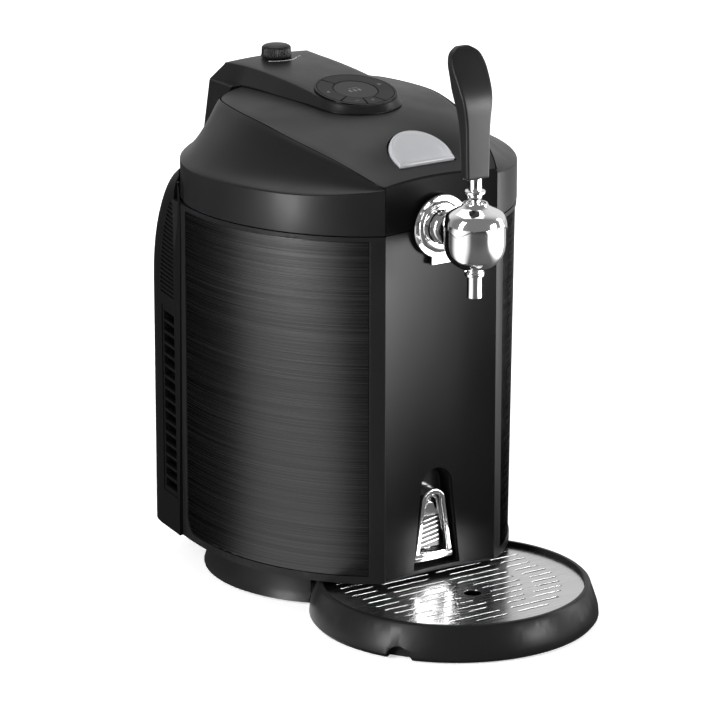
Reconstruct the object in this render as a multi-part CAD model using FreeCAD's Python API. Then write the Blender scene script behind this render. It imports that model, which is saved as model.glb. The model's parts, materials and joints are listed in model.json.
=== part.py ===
import FreeCAD, Part
import math
import os

from FreeCAD import Vector as V

# Counter-top beer dispenser for a 5 litre mini keg.
# Every shape is drawn about the upright axis of the keg: x to the right, y to
# the rear, z up from the table.  At export it moves back by AXIS_Y, which puts
# the origin under the middle of the whole machine.  All sizes in millimetres.

# ---- keg and chamber ----
KEG_RADIUS = 85.0
KEG_HEIGHT = 250.0
KEG_PLAY = 3.0
LINER_WALL = 1.5
FLANGE_WIDTH = 9.0
MOUTH_STEP = 0.8
CHAMBER_FLOOR = 45.0
FOAM_THICKNESS = 15.0
GASKET_HEIGHT = 5.4

# ---- body ----
BODY_BOTTOM = 30.7
BODY_TOP = 317.0
LID_GAP = 0.7
BOTTOM_HALF_WIDTH = 127.6
TOP_HALF_WIDTH = 134.5
BOTTOM_FRONT = 155.8
TOP_FRONT = 154.0
BODY_REAR = 200.0
NOSE = 141.4
FRONT_HOLLOW = 5.5
WALL = 3.0
BODY_SPLIT = 52.0
SEAM = 0.3
PANEL_SINK = 1.0
PANEL_THICKNESS = 1.0
PILLAR_EDGE = 64.0
PANEL_LOW = 37.0
PANEL_HIGH = 313.0
PANEL_CORNER = 14.0
FRONT_PANEL_HALF = 53.0
DECK_THICKNESS = 3.0
DECK_DROP = 4.0

# ---- rear cover ----
COVER_ARCH_START = 240.0
COVER_ARCH_HEIGHT = 100.0
COVER_ARCH_REACH = 60.0
COVER_TOP = 335.0
COVER_EDGE_LOW = 51.0
COVER_EDGE_HIGH = 36.0
REAR_DECK = 316.0
LOUVRE_LOW = 62.0
LOUVRE_HIGH = 221.0
LOUVRE_FRONT = 53.0
LOUVRE_REAR = 82.0
LOUVRE_SLATS = 15
RIB_FRONT = 54.0
RIB_REAR = 84.0
RIB_LOW = 232.0
RIB_COUNT = 22
RIB_PITCH = 3.7

# ---- cooling ----
FAN_Z = 170.0
COLD_FACE = 95.5
PELTIER_THICKNESS = 4.0
SINK_BASE = 4.0
SINK_DEPTH = 16.0
SINK_HALF_WIDTH = 42.0
SINK_HALF_HEIGHT = 46.0
FIN_COUNT = 15
FIN_THICKNESS = 1.5
FAN_SIZE = 80.0
FAN_DEPTH = 10.0
FAN_BORE = 37.0
FAN_ROOM = 6.5

# ---- foot and tray ----
FOOT_RADIUS = 112.5
FOOT_FLARE = 2.5
PAD_HEIGHT = 2.0
TRAY_OFFSET = 161.4
TRAY_RADIUS = 116.2
TRAY_RIM_RADIUS = 107.6
TRAY_HEIGHT = 29.8
TRAY_WALL = 2.5
TRAY_CLEARANCE = 1.3
GRILLE_RADIUS = 104.4
GRILLE_TOP = 26.2
GRILLE_THICKNESS = 1.2
SLOT_WIDTH = 2.0
DRAIN_RADIUS = 7.0
DRAIN_Y = -25.6
NOTCH_RADIUS = 10.5
NOTCH_ANGLE = 57.0

# ---- lid ----
LID_PROUD = 0.34
LID_FRONT = TOP_FRONT + 0.1
LID_REAR = 121.0
LID_WALL = 3.0
FRONT_PLATE = 2.6
PLATE_SEAM = 0.2
SPINE_REAR = 116.0
TOWER_HALF_WIDTH = 51.0
TOWER_BOTTOM = 344.0
TOWER_TOP = 388.2
TOWER_LEAN = 0.222
TOWER_LEAN_Z = 393.5
COVER_JOINT = 0.5
CORNER_WIDTH = 1.5
JOINT_END = 131.0
TOWER_FRONT = 78.0
LEDGE_WIDTH = 5.0

# ---- hinge ----
HINGE_Y = 120.0
HINGE_Z = 329.0
HINGE_X = 38.0
HINGE_PIN_RADIUS = 2.5
HINGE_FIT = 0.06
HINGE_ROOM = 1.6
BRACKET_FRONT = 101.0
BRACKET_REAR = 113.6
BRACKET_THICKNESS = 2.0
KNUCKLE_RADIUS = 7.0
KNUCKLE_WIDTH = 6.0
LUG_WIDTH = 4.0

# ---- control pad ----
PAD_Y = -19.6
PAD_Z = 404.15
PAD_TILT = 9.3
PAD_RADIUS = 31.2
DISPLAY_RADIUS = 18.3
BEZEL_RADIUS = 33.3
KEY_GAP = 0.35

# ---- pressure knob and gas ----
KNOB_Y = 97.5
KNOB_RADIUS = 12.0
KNOB_GAP = 0.2
KNOB_HEIGHT = 10.6
SPINDLE_RADIUS = 3.0
REGULATOR_RADIUS = 13.0
CARTRIDGE_RADIUS = 11.0
CARTRIDGE_X = 32.0
CARTRIDGE_Z = 370.0
CARTRIDGE_FRONT = 30.0
SLEEVE_WALL = 1.6
GAS_LINE_RADIUS = 3.0
BEER_LINE_RADIUS = 4.0
LINE_CLEARANCE = 1.6
COUPLER_RADIUS = 20.0
COUPLER_NECK = 8.0
LID_FOAM_RADIUS = 78.0
LID_FOAM_HEIGHT = 26.0
LID_LINER_THICKNESS = 2.2

# ---- release button ----
BUTTON_Y = -121.0
BUTTON_Z = 374.0
BUTTON_HALF = 26.0
BUTTON_DEPTH = 31.0
BUTTON_SLOPE = 31.0
SPRING_SHIFT = 7.0
SPRING_SEAT = -14.9
SPRING_RADIUS = 3.6
SPRING_WIRE = 0.5
SPRING_TURNS = 4
SPRING_CORNERS = 8
LATCH_LOW = 346.0
LATCH_HIGH = 352.0
LATCH_FRONT = -122.0

# ---- tap ----
TAP_Y = -186.4
SHANK_Z = 318.0
BALL_RISE = 2.4
SHANK_RADIUS = 10.5
ROSETTE_RADIUS = 25.6
SLEEVE_RADIUS = 13.5
LEVER_Z = 340.0
NECK_RADIUS = 4.0
COLLAR_LOW = 350.0
COLLAR_RISE = 4.6
COLLAR_RING = 2.4
COLLAR_RADIUS = 6.6
STEM_RADIUS = 5.2
SPOUT_TOP = 298.0
SPOUT_BOTTOM = 271.2
SPOUT_RADIUS = 6.0
HANDLE_FOOT = 366.8
HANDLE_ROUND = 0.45

# ---- bottle opener ----
RECESS_HALF = 22.4
RECESS_TOP_HALF = 15.0
RECESS_LOW = 34.0
RECESS_HIGH = 117.0
RECESS_DEPTH = 16.0

# ---- derived places ----
TAP_Z = SHANK_Z + BALL_RISE
LID_HALF_WIDTH = TOP_HALF_WIDTH + LID_PROUD
MEAN_HALF_WIDTH = (TOP_HALF_WIDTH + BOTTOM_HALF_WIDTH) / 2
COVER_DEPTH = COLD_FACE + PELTIER_THICKNESS + SINK_DEPTH + FAN_DEPTH + FAN_ROOM + WALL
BUTTON_RISE = math.radians(BUTTON_SLOPE)
SPRING_Y = (BUTTON_Y + BUTTON_DEPTH / 2 + SPRING_SHIFT * math.cos(BUTTON_RISE)
            - SPRING_SEAT * math.sin(BUTTON_RISE))
FRONT_REACH = TRAY_OFFSET + TRAY_RADIUS
AXIS_Y = (FRONT_REACH - COVER_DEPTH) / 2
LINER_INNER = KEG_RADIUS + KEG_PLAY
LINER_OUTER = LINER_INNER + LINER_WALL
FOAM_OUTER = LINER_OUTER + 0.5 + FOAM_THICKNESS
DECK_TOP = BODY_TOP - DECK_DROP
DECK_BOTTOM = DECK_TOP - DECK_THICKNESS
LID_BOTTOM = BODY_TOP + LID_GAP
LID_LINER_Z = DECK_TOP + LINER_WALL + GASKET_HEIGHT
FRONT_FACE = NOSE - FRONT_HOLLOW
KEG_TOP = CHAMBER_FLOOR + LINER_WALL + KEG_HEIGHT
PLAN_STEPS = 48
COVER_STEPS = 14
SHOULDER_STEPS = 32
JOINT_STEPS = 14

# Dome of the lid: distance behind the keg axis, half width to the joint line,
# height at the joint line, height in the middle.
DOME = [
    (-152.0, 48.5, 350.0, 349.0),
    (-141.4, 53.4, 355.2, 354.9),
    (-120.0, 63.0, 364.3, 365.2),
    (-96.0, 70.4, 371.4, 379.2),
    (-74.0, 76.7, 376.7, 388.0),
    (-50.0, 82.3, 381.7, 393.2),
    (-18.0, 87.4, 387.6, 395.6),
    (24.0, 85.7, 390.0, 396.5),
    (56.0, 79.0, 389.9, 396.3),
    (84.0, 70.0, 389.0, 395.2),
    (120.0, 56.0, 386.0, 392.5),
]
# Shoulder of the lid: angle on the band from the front, joint line x, y, z.
SHOULDER = [
    (23.4, 53.4, -141.4, 355.2),
    (31.0, 61.9, -123.0, 362.8),
    (42.0, 70.4, -96.0, 371.4),
    (53.0, 77.7, -70.0, 377.6),
    (66.0, 84.0, -41.0, 383.6),
    (80.0, 87.4, -12.0, 388.2),
    (95.0, 86.3, 18.0, 389.8),
    (110.0, 80.3, 50.0, 390.0),
    (125.0, 70.5, 71.0, 389.5),
    (137.0, 56.5, 81.0, 388.5),
    (146.0, 51.3, 91.0, 381.0),
    (153.0, 50.5, 100.0, 362.0),
    (160.0, 45.0, 110.5, 352.2),
    (170.0, 23.0, 113.0, 352.0),
    (180.0, 0.0, 114.0, 352.0),
]
# Section of the shoulder: share of the way in from the band, share of the rise.
SHOULDER_RISE = [(0.0, 0.0), (0.2, 0.11), (0.4, 0.27), (0.6, 0.49), (0.8, 0.76),
                 (0.92, 0.93), (1.0, 1.0)]
# Top of the spine along the middle: y, z.
SPINE_TOP = [(-68.0, 396.6), (-50.0, 399.2), (-20.0, 403.6), (12.0, 406.8),
             (50.0, 408.8), (80.0, 409.2), (124.0, 408.0)]
SPINE_CROWN = 1.6
KNOB_FOOT = max(z for y, z in SPINE_TOP) + KNOB_GAP
KNOB_TOP = KNOB_FOOT + KNOB_HEIGHT
# Plan of the rear cover: share of the mean half width, share of the depth.
COVER_PLAN = [(0.9996, 0.148), (0.9676, 0.37), (0.934, 0.6), (0.889, 0.7704), (0.7478, 0.9037),
              (0.4731, 0.9741), (0.0, 1.0)]
# Tap body: radius, height above the tap's middle.
TAP_PROFILE = [(8.4, -26.8), (11.5, -23.6), (16.4, -20.4), (20.6, -16.2), (23.2, -11.0),
               (24.2, -5.0), (24.2, 3.0), (23.2, 9.6), (23.8, 10.0), (22.4, 14.2),
               (19.0, 18.6), (15.4, 21.6), (11.6, 24.0), (9.8, 26.6)]
# Tap handle: height above its foot, half width, front face, rear face.
HANDLE = [
    (0.0, 10.6, -5.0, 6.2),
    (23.2, 11.2, -5.0, 8.0),
    (48.2, 11.8, -5.0, 10.0),
    (60.2, 12.4, -4.4, 12.4),
    (69.2, 13.6, -1.8, 14.6),
    (79.2, 15.2, 3.0, 16.4),
    (87.0, 15.8, 7.4, 18.4),
    (93.6, 14.4, 11.2, 19.8),
    (98.4, 10.8, 14.4, 20.8),
    (101.4, 5.4, 17.0, 21.2),
]
# Grille slots, one side: row behind the tray centre, start and end across.
SLOT_ROWS = [
    (81.0, 12.0, 34.0), (71.0, 4.0, 26.0), (71.0, 38.0, 62.0), (60.0, 12.0, 44.0),
    (60.0, 54.0, 76.0), (50.0, 4.0, 46.0), (50.0, 56.0, 80.0), (40.0, 10.0, 50.0),
    (40.0, 59.0, 82.0), (30.0, 4.0, 48.0), (30.0, 58.0, 84.0), (20.0, 10.0, 50.0),
    (20.0, 60.0, 84.0), (9.5, 3.0, 51.0), (9.5, 59.0, 81.0), (-0.5, 3.0, 52.0),
    (-0.5, 60.0, 82.0), (-11.0, 12.0, 50.0), (-11.0, 60.0, 82.0), (-21.0, 14.0, 49.0),
    (-21.0, 59.0, 81.0), (-31.0, 14.0, 44.0), (-31.0, 55.0, 78.0), (-41.0, 10.0, 38.0),
    (-41.0, 50.0, 74.0), (-51.0, 4.0, 32.0), (-51.0, 42.0, 69.0), (-60.0, 10.0, 27.0),
    (-60.0, 36.0, 62.0), (-71.0, 5.0, 52.0), (-81.0, 6.0, 34.0),
]


# ---- helpers ----
def box(x0, x1, y0, y1, z0, z1):
    return Part.makeBox(x1 - x0, y1 - y0, z1 - z0, V(x0, y0, z0))


def upright(radius, low, high, x=0.0, y=0.0):
    return Part.makeCylinder(radius, high - low, V(x, y, low))


def along_y(radius, start, end, x=0.0, z=0.0):
    return Part.makeCylinder(radius, end - start, V(x, start, z), V(0, 1, 0))


def along_x(radius, start, end, y, z):
    return Part.makeCylinder(radius, end - start, V(start, y, z), V(1, 0, 0))


def mirrored(shape):
    return shape.mirror(V(0, 0, 0), V(1, 0, 0))


def both_sides(shape):
    return [shape, mirrored(shape)]


def pair(shape):
    return Part.Compound(both_sides(shape))


def spline(points):
    curve = Part.BSplineCurve()
    curve.interpolate(points)
    return curve.toShape()


def polygon_wire(points):
    return Part.makePolygon(points + [points[0]])


def prism(wire, direction):
    return Part.Face(wire).extrude(direction)


def ring(outer, inner, low, high, x=0.0, y=0.0):
    return upright(outer, low, high, x, y).cut(upright(inner, low - 1, high + 1, x, y))


def surface(rows):
    sheet = Part.BSplineSurface()
    sheet.interpolate(rows)
    return sheet.toShape()


def below(face, drop, depth):
    """Everything from a face lowered by drop down through depth."""
    sheet = face.copy()
    sheet.translate(V(0, 0, -drop))
    return sheet.extrude(V(0, 0, -depth))


def hex_nut(across, start, end, bore, x=0.0, z=0.0):
    """Hexagon nut along y."""
    reach = across / math.sqrt(3)
    corners = []
    for i in range(6):
        angle = math.radians(60 * i)
        corners.append(V(x + reach * math.cos(angle), start, z + reach * math.sin(angle)))
    blank = prism(polygon_wire(corners), V(0, end - start, 0))
    return blank.cut(along_y(bore, start - 1, end + 1, x, z))


def tube(points, radius):
    """Round tube along straight runs joined by tangent arcs."""
    edges = []
    last = points[0]
    for i in range(1, len(points) - 1):
        corner = points[i]
        back = points[i - 1] - corner
        ahead = points[i + 1] - corner
        half = back.getAngle(ahead) / 2
        reach = 0.45 * min(back.Length, ahead.Length)
        back.normalize()
        ahead.normalize()
        start = corner + back * reach
        end = corner + ahead * reach
        bisector = back + ahead
        bisector.normalize()
        bend = reach * math.tan(half)
        centre = corner + bisector * (reach / math.cos(half))
        middle = centre - bisector * bend
        edges.append(Part.LineSegment(last, start).toShape())
        edges.append(Part.Arc(start, middle, end).toShape())
        last = end
    edges.append(Part.LineSegment(last, points[-1]).toShape())
    path = Part.Wire(edges)
    section = Part.Wire([Part.makeCircle(radius, points[0], points[1] - points[0])])
    return path.makePipeShell([section], True, True)


# ---- outlines shared by many pieces ----
def plan_wire(z, half_width, front, rear, inset):
    """Rounded plan with a hollow front between two corners."""
    nose = NOSE - inset
    corner = math.acos(nose / (front - inset))
    points = []
    for i in range(PLAN_STEPS + 1):
        t = corner + 2 * (math.pi - corner) * i / PLAN_STEPS
        reach = (front if math.cos(t) > 0 else rear) - inset
        points.append(V((half_width - inset) * math.sin(t), -reach * math.cos(t), z))
    hollow = Part.Arc(points[-1], V(0, FRONT_HOLLOW - nose, z), points[0])
    return Part.Wire([spline(points), hollow.toShape()])


def body_plan(z, inset):
    rise = (z - BODY_BOTTOM) / (BODY_TOP - BODY_BOTTOM)
    half_width = BOTTOM_HALF_WIDTH + rise * (TOP_HALF_WIDTH - BOTTOM_HALF_WIDTH)
    front = BOTTOM_FRONT + rise * (TOP_FRONT - BOTTOM_FRONT)
    return plan_wire(z, half_width, front, BODY_REAR, inset)


def body_block(inset, low, high):
    """Tapered body, cut off flat where the rear cover takes over."""
    block = Part.makeLoft([body_plan(low, inset), body_plan(high, inset)], True, True)
    return block.common(box(-200, 200, -200, BODY_SPLIT, low - 1, high + 1))


def band_block(inset, low, high):
    """Upright block with the plan of the lid band."""
    wire = plan_wire(low, LID_HALF_WIDTH, LID_FRONT, LID_REAR, inset)
    return prism(wire, V(0, 0, high - low))


def cover_shift(z):
    """How far the rear of the cover leans forward at a height."""
    if z <= COVER_ARCH_START:
        return 0.0
    share = (z - COVER_ARCH_START) / COVER_ARCH_HEIGHT
    return COVER_ARCH_REACH * (1 - math.sqrt(1 - share * share))


def cover_plan(z, inset):
    """Plan of the rear cover at a height, closed by a straight line in front."""
    rise = (z - BODY_BOTTOM) / (BODY_TOP - BODY_BOTTOM)
    taper = TOP_HALF_WIDTH / BOTTOM_HALF_WIDTH - 1
    right = []
    for across, back in COVER_PLAN:
        x = across * MEAN_HALF_WIDTH
        y = back * COVER_DEPTH
        share = min(1.0, max(0.0, (y - 40.0) / 52.0))
        shifted = y - share * cover_shift(z)
        wide = x * (1 + taper * rise * max(0.0, 1 - shifted / 90.0))
        right.append(V(wide * (1 - inset / BOTTOM_HALF_WIDTH), shifted - share * inset, z))
    left = [V(-p.x, p.y, p.z) for p in reversed(right[:-1])]
    points = right + left
    line = Part.LineSegment(points[-1], points[0]).toShape()
    return Part.Wire([spline(points), line])


def cover_block(inset, high):
    """Rear cover as one block: upright below, arching forward above."""
    heights = [BODY_BOTTOM]
    for i in range(COVER_STEPS):
        angle = math.pi / 2 * i / COVER_STEPS
        heights.append(COVER_ARCH_START + COVER_ARCH_HEIGHT * math.sin(angle))
    heights = [z for z in heights if z < high - 1] + [high]
    return Part.makeLoft([cover_plan(z, inset) for z in heights], True, True)


# ---- lid surfaces ----
def dome_face():
    rows = []
    for y, half, edge, middle in DOME:
        row = []
        for i in range(-4, 5):
            share = 1.08 * i / 4
            row.append(V(share * half, y, middle - (middle - edge) * share * share))
        rows.append(row)
    return surface(rows)


def band_point(angle):
    t = math.radians(angle)
    reach = LID_FRONT if math.cos(t) > 0 else LID_REAR
    return LID_HALF_WIDTH * math.sin(t), -reach * math.cos(t)


def outward(angle):
    t = math.radians(angle)
    return V(math.sin(t), -math.cos(t), 0)


def crease_height(angle):
    """Top of the band: highest at the front corners, level along the sides."""
    share = min(1.0, max(0.0, (angle - 23.4) / 36.0))
    return 354.6 - 5.7 * share * (2 - share)


def joint_curve():
    """Joint line of the shoulder as a curve over the angle from the front."""
    curve = Part.BSplineCurve()
    points = [V(x, y, z) for angle, x, y, z in SHOULDER]
    curve.interpolate(Points=points, Parameters=[row[0] for row in SHOULDER])
    return curve


def rise_profile(start, end):
    """Shoulder section from one corner point to another."""
    points = []
    for across, rise in SHOULDER_RISE:
        point = start + (end - start) * across
        point.z = start.z + (end.z - start.z) * rise
        points.append(point)
    return points


def shoulder_section(angle, joint):
    """Section of the shell at an angle: band, shoulder, ledge for the cover."""
    bx, by = band_point(angle)
    out = outward(angle)
    crease = V(bx, by, crease_height(angle))
    width = max(CORNER_WIDTH, (crease - joint).dot(out))
    if angle in (SHOULDER[0][0], SHOULDER[-1][0]):
        joint = V(bx - out.x * width, by - out.y * width, joint.z)
    step = V(0, 0, LID_WALL)
    lip = joint - out * LEDGE_WIDTH
    reach = max(width - 1, LID_WALL + 0.5)
    inner_end = joint + out * (width - reach) - step * 1.85
    inner_start = crease - out * LID_WALL - step
    inner = rise_profile(inner_start, inner_end)
    foot = V(inner_start.x, inner_start.y, LID_BOTTOM)
    corners = [joint, joint - step * 1.03, lip - step * 1.03, lip - step * 1.85, inner_end]
    edges = [Part.LineSegment(V(bx, by, LID_BOTTOM), crease).toShape()]
    edges.append(spline(rise_profile(crease, joint)))
    for i in range(len(corners) - 1):
        edges.append(Part.LineSegment(corners[i], corners[i + 1]).toShape())
    edges.append(spline(inner[::-1]))
    edges.append(Part.LineSegment(inner_start, foot).toShape())
    edges.append(Part.LineSegment(foot, V(bx, by, LID_BOTTOM)).toShape())
    return Part.Wire(edges)


def shoulder_shell():
    """Band and shoulder as one shell round the sides and the rear."""
    curve = joint_curve()
    first = SHOULDER[0][0]
    wires = []
    for i in range(SHOULDER_STEPS + 1):
        angle = first + (180 - first) * i / SHOULDER_STEPS
        wires.append(shoulder_section(angle, curve.value(angle)))
    half = Part.makeLoft(wires, True, True)
    return half.fuse(mirrored(half))


def joint_wire(low, gap):
    """Outline of the lid cover: the joint line of the shoulder up to the tower."""
    curve = joint_curve()
    first = SHOULDER[0][0]
    x, y = band_point(first)
    start = V(x, y, low) - outward(first) * (CORNER_WIDTH + 0.4 + gap)
    points = [start]
    for i in range(1, JOINT_STEPS + 1):
        angle = first + (JOINT_END - first) * i / JOINT_STEPS
        point = curve.value(angle) - outward(angle) * gap
        points.append(V(point.x, point.y, low))
    points.append(V(TOWER_HALF_WIDTH, TOWER_FRONT + 2, low))
    right = spline(points)
    left = spline([V(-p.x, p.y, low) for p in reversed(points)])
    back = Part.LineSegment(points[-1], V(-points[-1].x, points[-1].y, low)).toShape()
    front = Part.LineSegment(V(-points[0].x, points[0].y, low), points[0]).toShape()
    return Part.Wire([right, back, left, front])


def joint_block(gap):
    return prism(joint_wire(300.0, gap), V(0, 0, 130))


def tower_rear(z):
    return SPINE_REAR + (TOWER_LEAN_Z - z) * TOWER_LEAN


def behind_tower(inset, low, high):
    """Block behind the leaning rear face of the tower."""
    points = [V(-90, tower_rear(low) - inset, low), V(-90, tower_rear(high) - inset, high),
              V(-90, 200, high), V(-90, 200, low)]
    return prism(polygon_wire(points), V(180, 0, 0))


def tower_block(inset):
    """Tower behind the dome: its sides stand on the shoulder."""
    top = TOWER_TOP
    points = [(TOWER_FRONT + 3.5, top), (91.0, 383.0), (100.5, 365.5),
              (106.0, 356.5), (110.5, 353.8), (LID_REAR + 1.2, 353.8), (LID_REAR + 1.2, TOWER_BOTTOM),
              (tower_rear(TOWER_BOTTOM), TOWER_BOTTOM), (tower_rear(top), top)]
    half = TOWER_HALF_WIDTH - inset
    wire = polygon_wire([V(-half, y, z) for y, z in points])
    return prism(wire, V(2 * half, 0, 0))


def tower_hollow():
    """Room in the tower, open below in front of its floor."""
    floor = 353.8 + WALL
    top = TOWER_TOP + 2
    points = [(TOWER_FRONT + WALL, top), (TOWER_FRONT + WALL, 300.0), (109.0, 300.0), (109.0, floor),
              (tower_rear(floor) - WALL, floor), (tower_rear(top) - WALL, top)]
    half = TOWER_HALF_WIDTH - WALL
    wire = polygon_wire([V(-half, y, z) for y, z in points])
    return prism(wire, V(2 * half, 0, 0))


def spine_wire(z, nose_radius, waist, rear_half, inset):
    """Outline of the spine: round nose about the control pad, widening to the rear."""
    r = nose_radius - inset
    points = [V(r, PAD_Y, z), V(waist - inset, 33, z), V(rear_half - inset - 4, 92, z),
              V(rear_half - inset, 130, z)]
    sides = [Part.LineSegment(points[i], points[i + 1]).toShape() for i in range(3)]
    flipped = [V(-p.x, p.y, p.z) for p in points]
    back = Part.LineSegment(points[3], flipped[3]).toShape()
    other = [Part.LineSegment(flipped[i + 1], flipped[i]).toShape() for i in (2, 1, 0)]
    nose = Part.Arc(flipped[0], V(0, PAD_Y - r, z), points[0]).toShape()
    return Part.Wire(sides + [back] + other + [nose])


def spine_top_face():
    rows = []
    for y, z in SPINE_TOP:
        row = []
        for i in range(-3, 4):
            row.append(V(19.0 * i, y, z - SPINE_CROWN * (19.0 * i / 42.0) ** 2))
        rows.append(row)
    return surface(rows)


def spine_block(inset):
    """Raised spine on the lid, open below."""
    low = spine_wire(380.0, 42.0, 47.5, 53.5, inset)
    high = spine_wire(414.0, 31.2, 36.5, 42.5, inset)
    sides = Part.makeLoft([low, high], True, True)
    block = sides.common(below(spine_top_face(), inset, 60))
    return block.cut(behind_tower(inset, 300, 430))


# ---- foot, feet and tray ----
def foot_base():
    low = Part.makeCone(FOOT_RADIUS + FOOT_FLARE, FOOT_RADIUS, 8, V(0, 0, PAD_HEIGHT))
    disc = low.fuse(upright(FOOT_RADIUS, PAD_HEIGHT + 8, BODY_BOTTOM))
    hollow = upright(FOOT_RADIUS - WALL, PAD_HEIGHT - 1, BODY_BOTTOM - WALL)
    wall = ring(TRAY_RADIUS + TRAY_CLEARANCE + WALL, TRAY_RADIUS + TRAY_CLEARANCE,
                PAD_HEIGHT, BODY_BOTTOM, 0, -TRAY_OFFSET).common(disc)
    bite = upright(TRAY_RADIUS + TRAY_CLEARANCE, 0, BODY_BOTTOM + 1, 0, -TRAY_OFFSET)
    shell = disc.cut(hollow).fuse(wall).cut(bite)
    for x, y in foot_places():
        shell = shell.fuse(upright(9, PAD_HEIGHT, BODY_BOTTOM - 1, x, y))
    for x, y in screw_places():
        shell = shell.cut(upright(2.1, BODY_BOTTOM - WALL - 1, BODY_BOTTOM + 1, x, y))
    return shell.removeSplitter()


def foot_places():
    return [(78, 30), (-78, 30), (45, 82), (-45, 82), (92, -38), (-92, -38)]


def screw_places():
    return [(70, 60), (-70, 60), (88, 0), (-88, 0)]


def rubber_feet():
    feet = [upright(8, 0, PAD_HEIGHT, x, y) for x, y in foot_places()]
    return Part.Compound(feet)


def tray_profile(radius_base, radius_top, low, high):
    """Dish wall drawn as half a section and turned about the tray axis."""
    points = [V(0, 0, low), V(radius_base - 2.5, 0, low), V(radius_base, 0, low + 3),
              V(radius_base - 0.6, 0, low + 9), V(radius_top + 1.8, 0, high - 1.6),
              V(radius_top, 0, high), V(0, 0, high)]
    face = Part.Face(polygon_wire(points))
    solid = face.revolve(V(0, 0, 0), V(0, 0, 1), 360)
    solid.translate(V(0, -TRAY_OFFSET, 0))
    return solid


def drip_tray():
    outer = tray_profile(TRAY_RADIUS, TRAY_RIM_RADIUS, PAD_HEIGHT - 1.0, TRAY_HEIGHT)
    seat = upright(GRILLE_RADIUS + SEAM, GRILLE_TOP - GRILLE_THICKNESS, TRAY_HEIGHT + 1,
                   0, -TRAY_OFFSET)
    basin = upright(GRILLE_RADIUS - 5, PAD_HEIGHT + TRAY_WALL, GRILLE_TOP, 0, -TRAY_OFFSET)
    tray = outer.cut(seat).cut(basin)
    for x in (-45, 45):
        for y in (-45, 45):
            post = upright(4, PAD_HEIGHT, GRILLE_TOP - GRILLE_THICKNESS, x, y - TRAY_OFFSET)
            tray = tray.fuse(post)
    for side in (-1, 1):
        cut = Part.makeCylinder(NOTCH_RADIUS, 14, V(0, 9 - TRAY_RADIUS, PAD_HEIGHT - 1), V(0, -1, 0))
        cut.rotate(V(0, 0, 0), V(0, 0, 1), side * NOTCH_ANGLE)
        cut.translate(V(0, -TRAY_OFFSET, 0))
        tray = tray.cut(cut)
    feet = []
    for x, y in ((70, -50), (-70, -50), (50, 60), (-50, 60)):
        feet.append(upright(6, 0, PAD_HEIGHT, x, y - TRAY_OFFSET))
    return tray.fuse(feet)


def tray_grille():
    low = GRILLE_TOP - GRILLE_THICKNESS
    disc = upright(GRILLE_RADIUS, low, GRILLE_TOP, 0, -TRAY_OFFSET)
    cuts = [upright(DRAIN_RADIUS, low - 1, GRILLE_TOP + 1, 0, DRAIN_Y - TRAY_OFFSET)]
    half = SLOT_WIDTH / 2
    for row, start, end in SLOT_ROWS:
        y = row - TRAY_OFFSET
        slot = box(start, end, y - half, y + half, low - 1, GRILLE_TOP + 1)
        cuts += both_sides(slot)
    return disc.cut(Part.Compound(cuts))


# ---- body ----
def side_outline(grow):
    """Side view of the steel panel, with a round lower rear corner."""
    low = PANEL_LOW - grow
    high = PANEL_HIGH + grow
    rear_low = COVER_EDGE_LOW - 9 + grow
    rear_high = COVER_EDGE_HIGH - 9 + grow
    r = PANEL_CORNER
    lean = (rear_low - rear_high) / (high - low)
    bend = V(0, rear_low - lean * r, low + r)
    start = V(0, rear_low - r, low)
    middle = V(0, rear_low - r * 0.29 - lean * r / 2, low + r * 0.29)
    edges = [
        Part.LineSegment(V(0, -170, low), start).toShape(),
        Part.Arc(start, middle, bend).toShape(),
        Part.LineSegment(bend, V(0, rear_high, high)).toShape(),
        Part.LineSegment(V(0, rear_high, high), V(0, -170, high)).toShape(),
        Part.LineSegment(V(0, -170, high), V(0, -170, low)).toShape(),
    ]
    return Part.Wire(edges)


def side_window(grow):
    """Block that frames the right steel panel."""
    block = prism(side_outline(grow), V(200, 0, 0))
    return block.common(box(PILLAR_EDGE - grow, 200, -200, 100, 0, 400))


def front_zone(grow):
    """Block that holds the glossy front panel."""
    half = FRONT_PANEL_HALF + grow
    return box(-half, half, -160, -100, BODY_BOTTOM + 1.3 - grow, BODY_TOP)


def recess_wire(y, grow):
    """Tapered arch of the opener recess."""
    low = RECESS_HALF + grow
    top = RECESS_TOP_HALF + grow
    spring = RECESS_HIGH - RECESS_TOP_HALF
    points = [V(-low, y, RECESS_LOW - grow), V(low, y, RECESS_LOW - grow), V(top, y, spring),
              V(-top, y, spring)]
    edges = [Part.LineSegment(points[i], points[i + 1]).toShape() for i in range(2)]
    edges.append(Part.Arc(points[2], V(0, y, RECESS_HIGH + grow), points[3]).toShape())
    edges.append(Part.LineSegment(points[3], points[0]).toShape())
    return Part.Wire(edges)


def recess_block(grow, front, rear):
    return prism(recess_wire(front, grow), V(0, rear - front, 0))


def shank_slot(radius, rear=-90.0):
    """U-shaped notch for the tap shank or the beer line, open at the top."""
    slot = along_y(radius, -160, rear, 0, SHANK_Z)
    return slot.fuse(box(-radius, radius, -160, rear, SHANK_Z, SHANK_Z + 40))


def skin_block(depth):
    """Layer that reaches from outside the body to a depth under its surface."""
    outside = body_block(-2, BODY_BOTTOM - 1, BODY_TOP + 1)
    return outside.cut(body_block(depth, BODY_BOTTOM - 2, BODY_TOP + 2))


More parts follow.
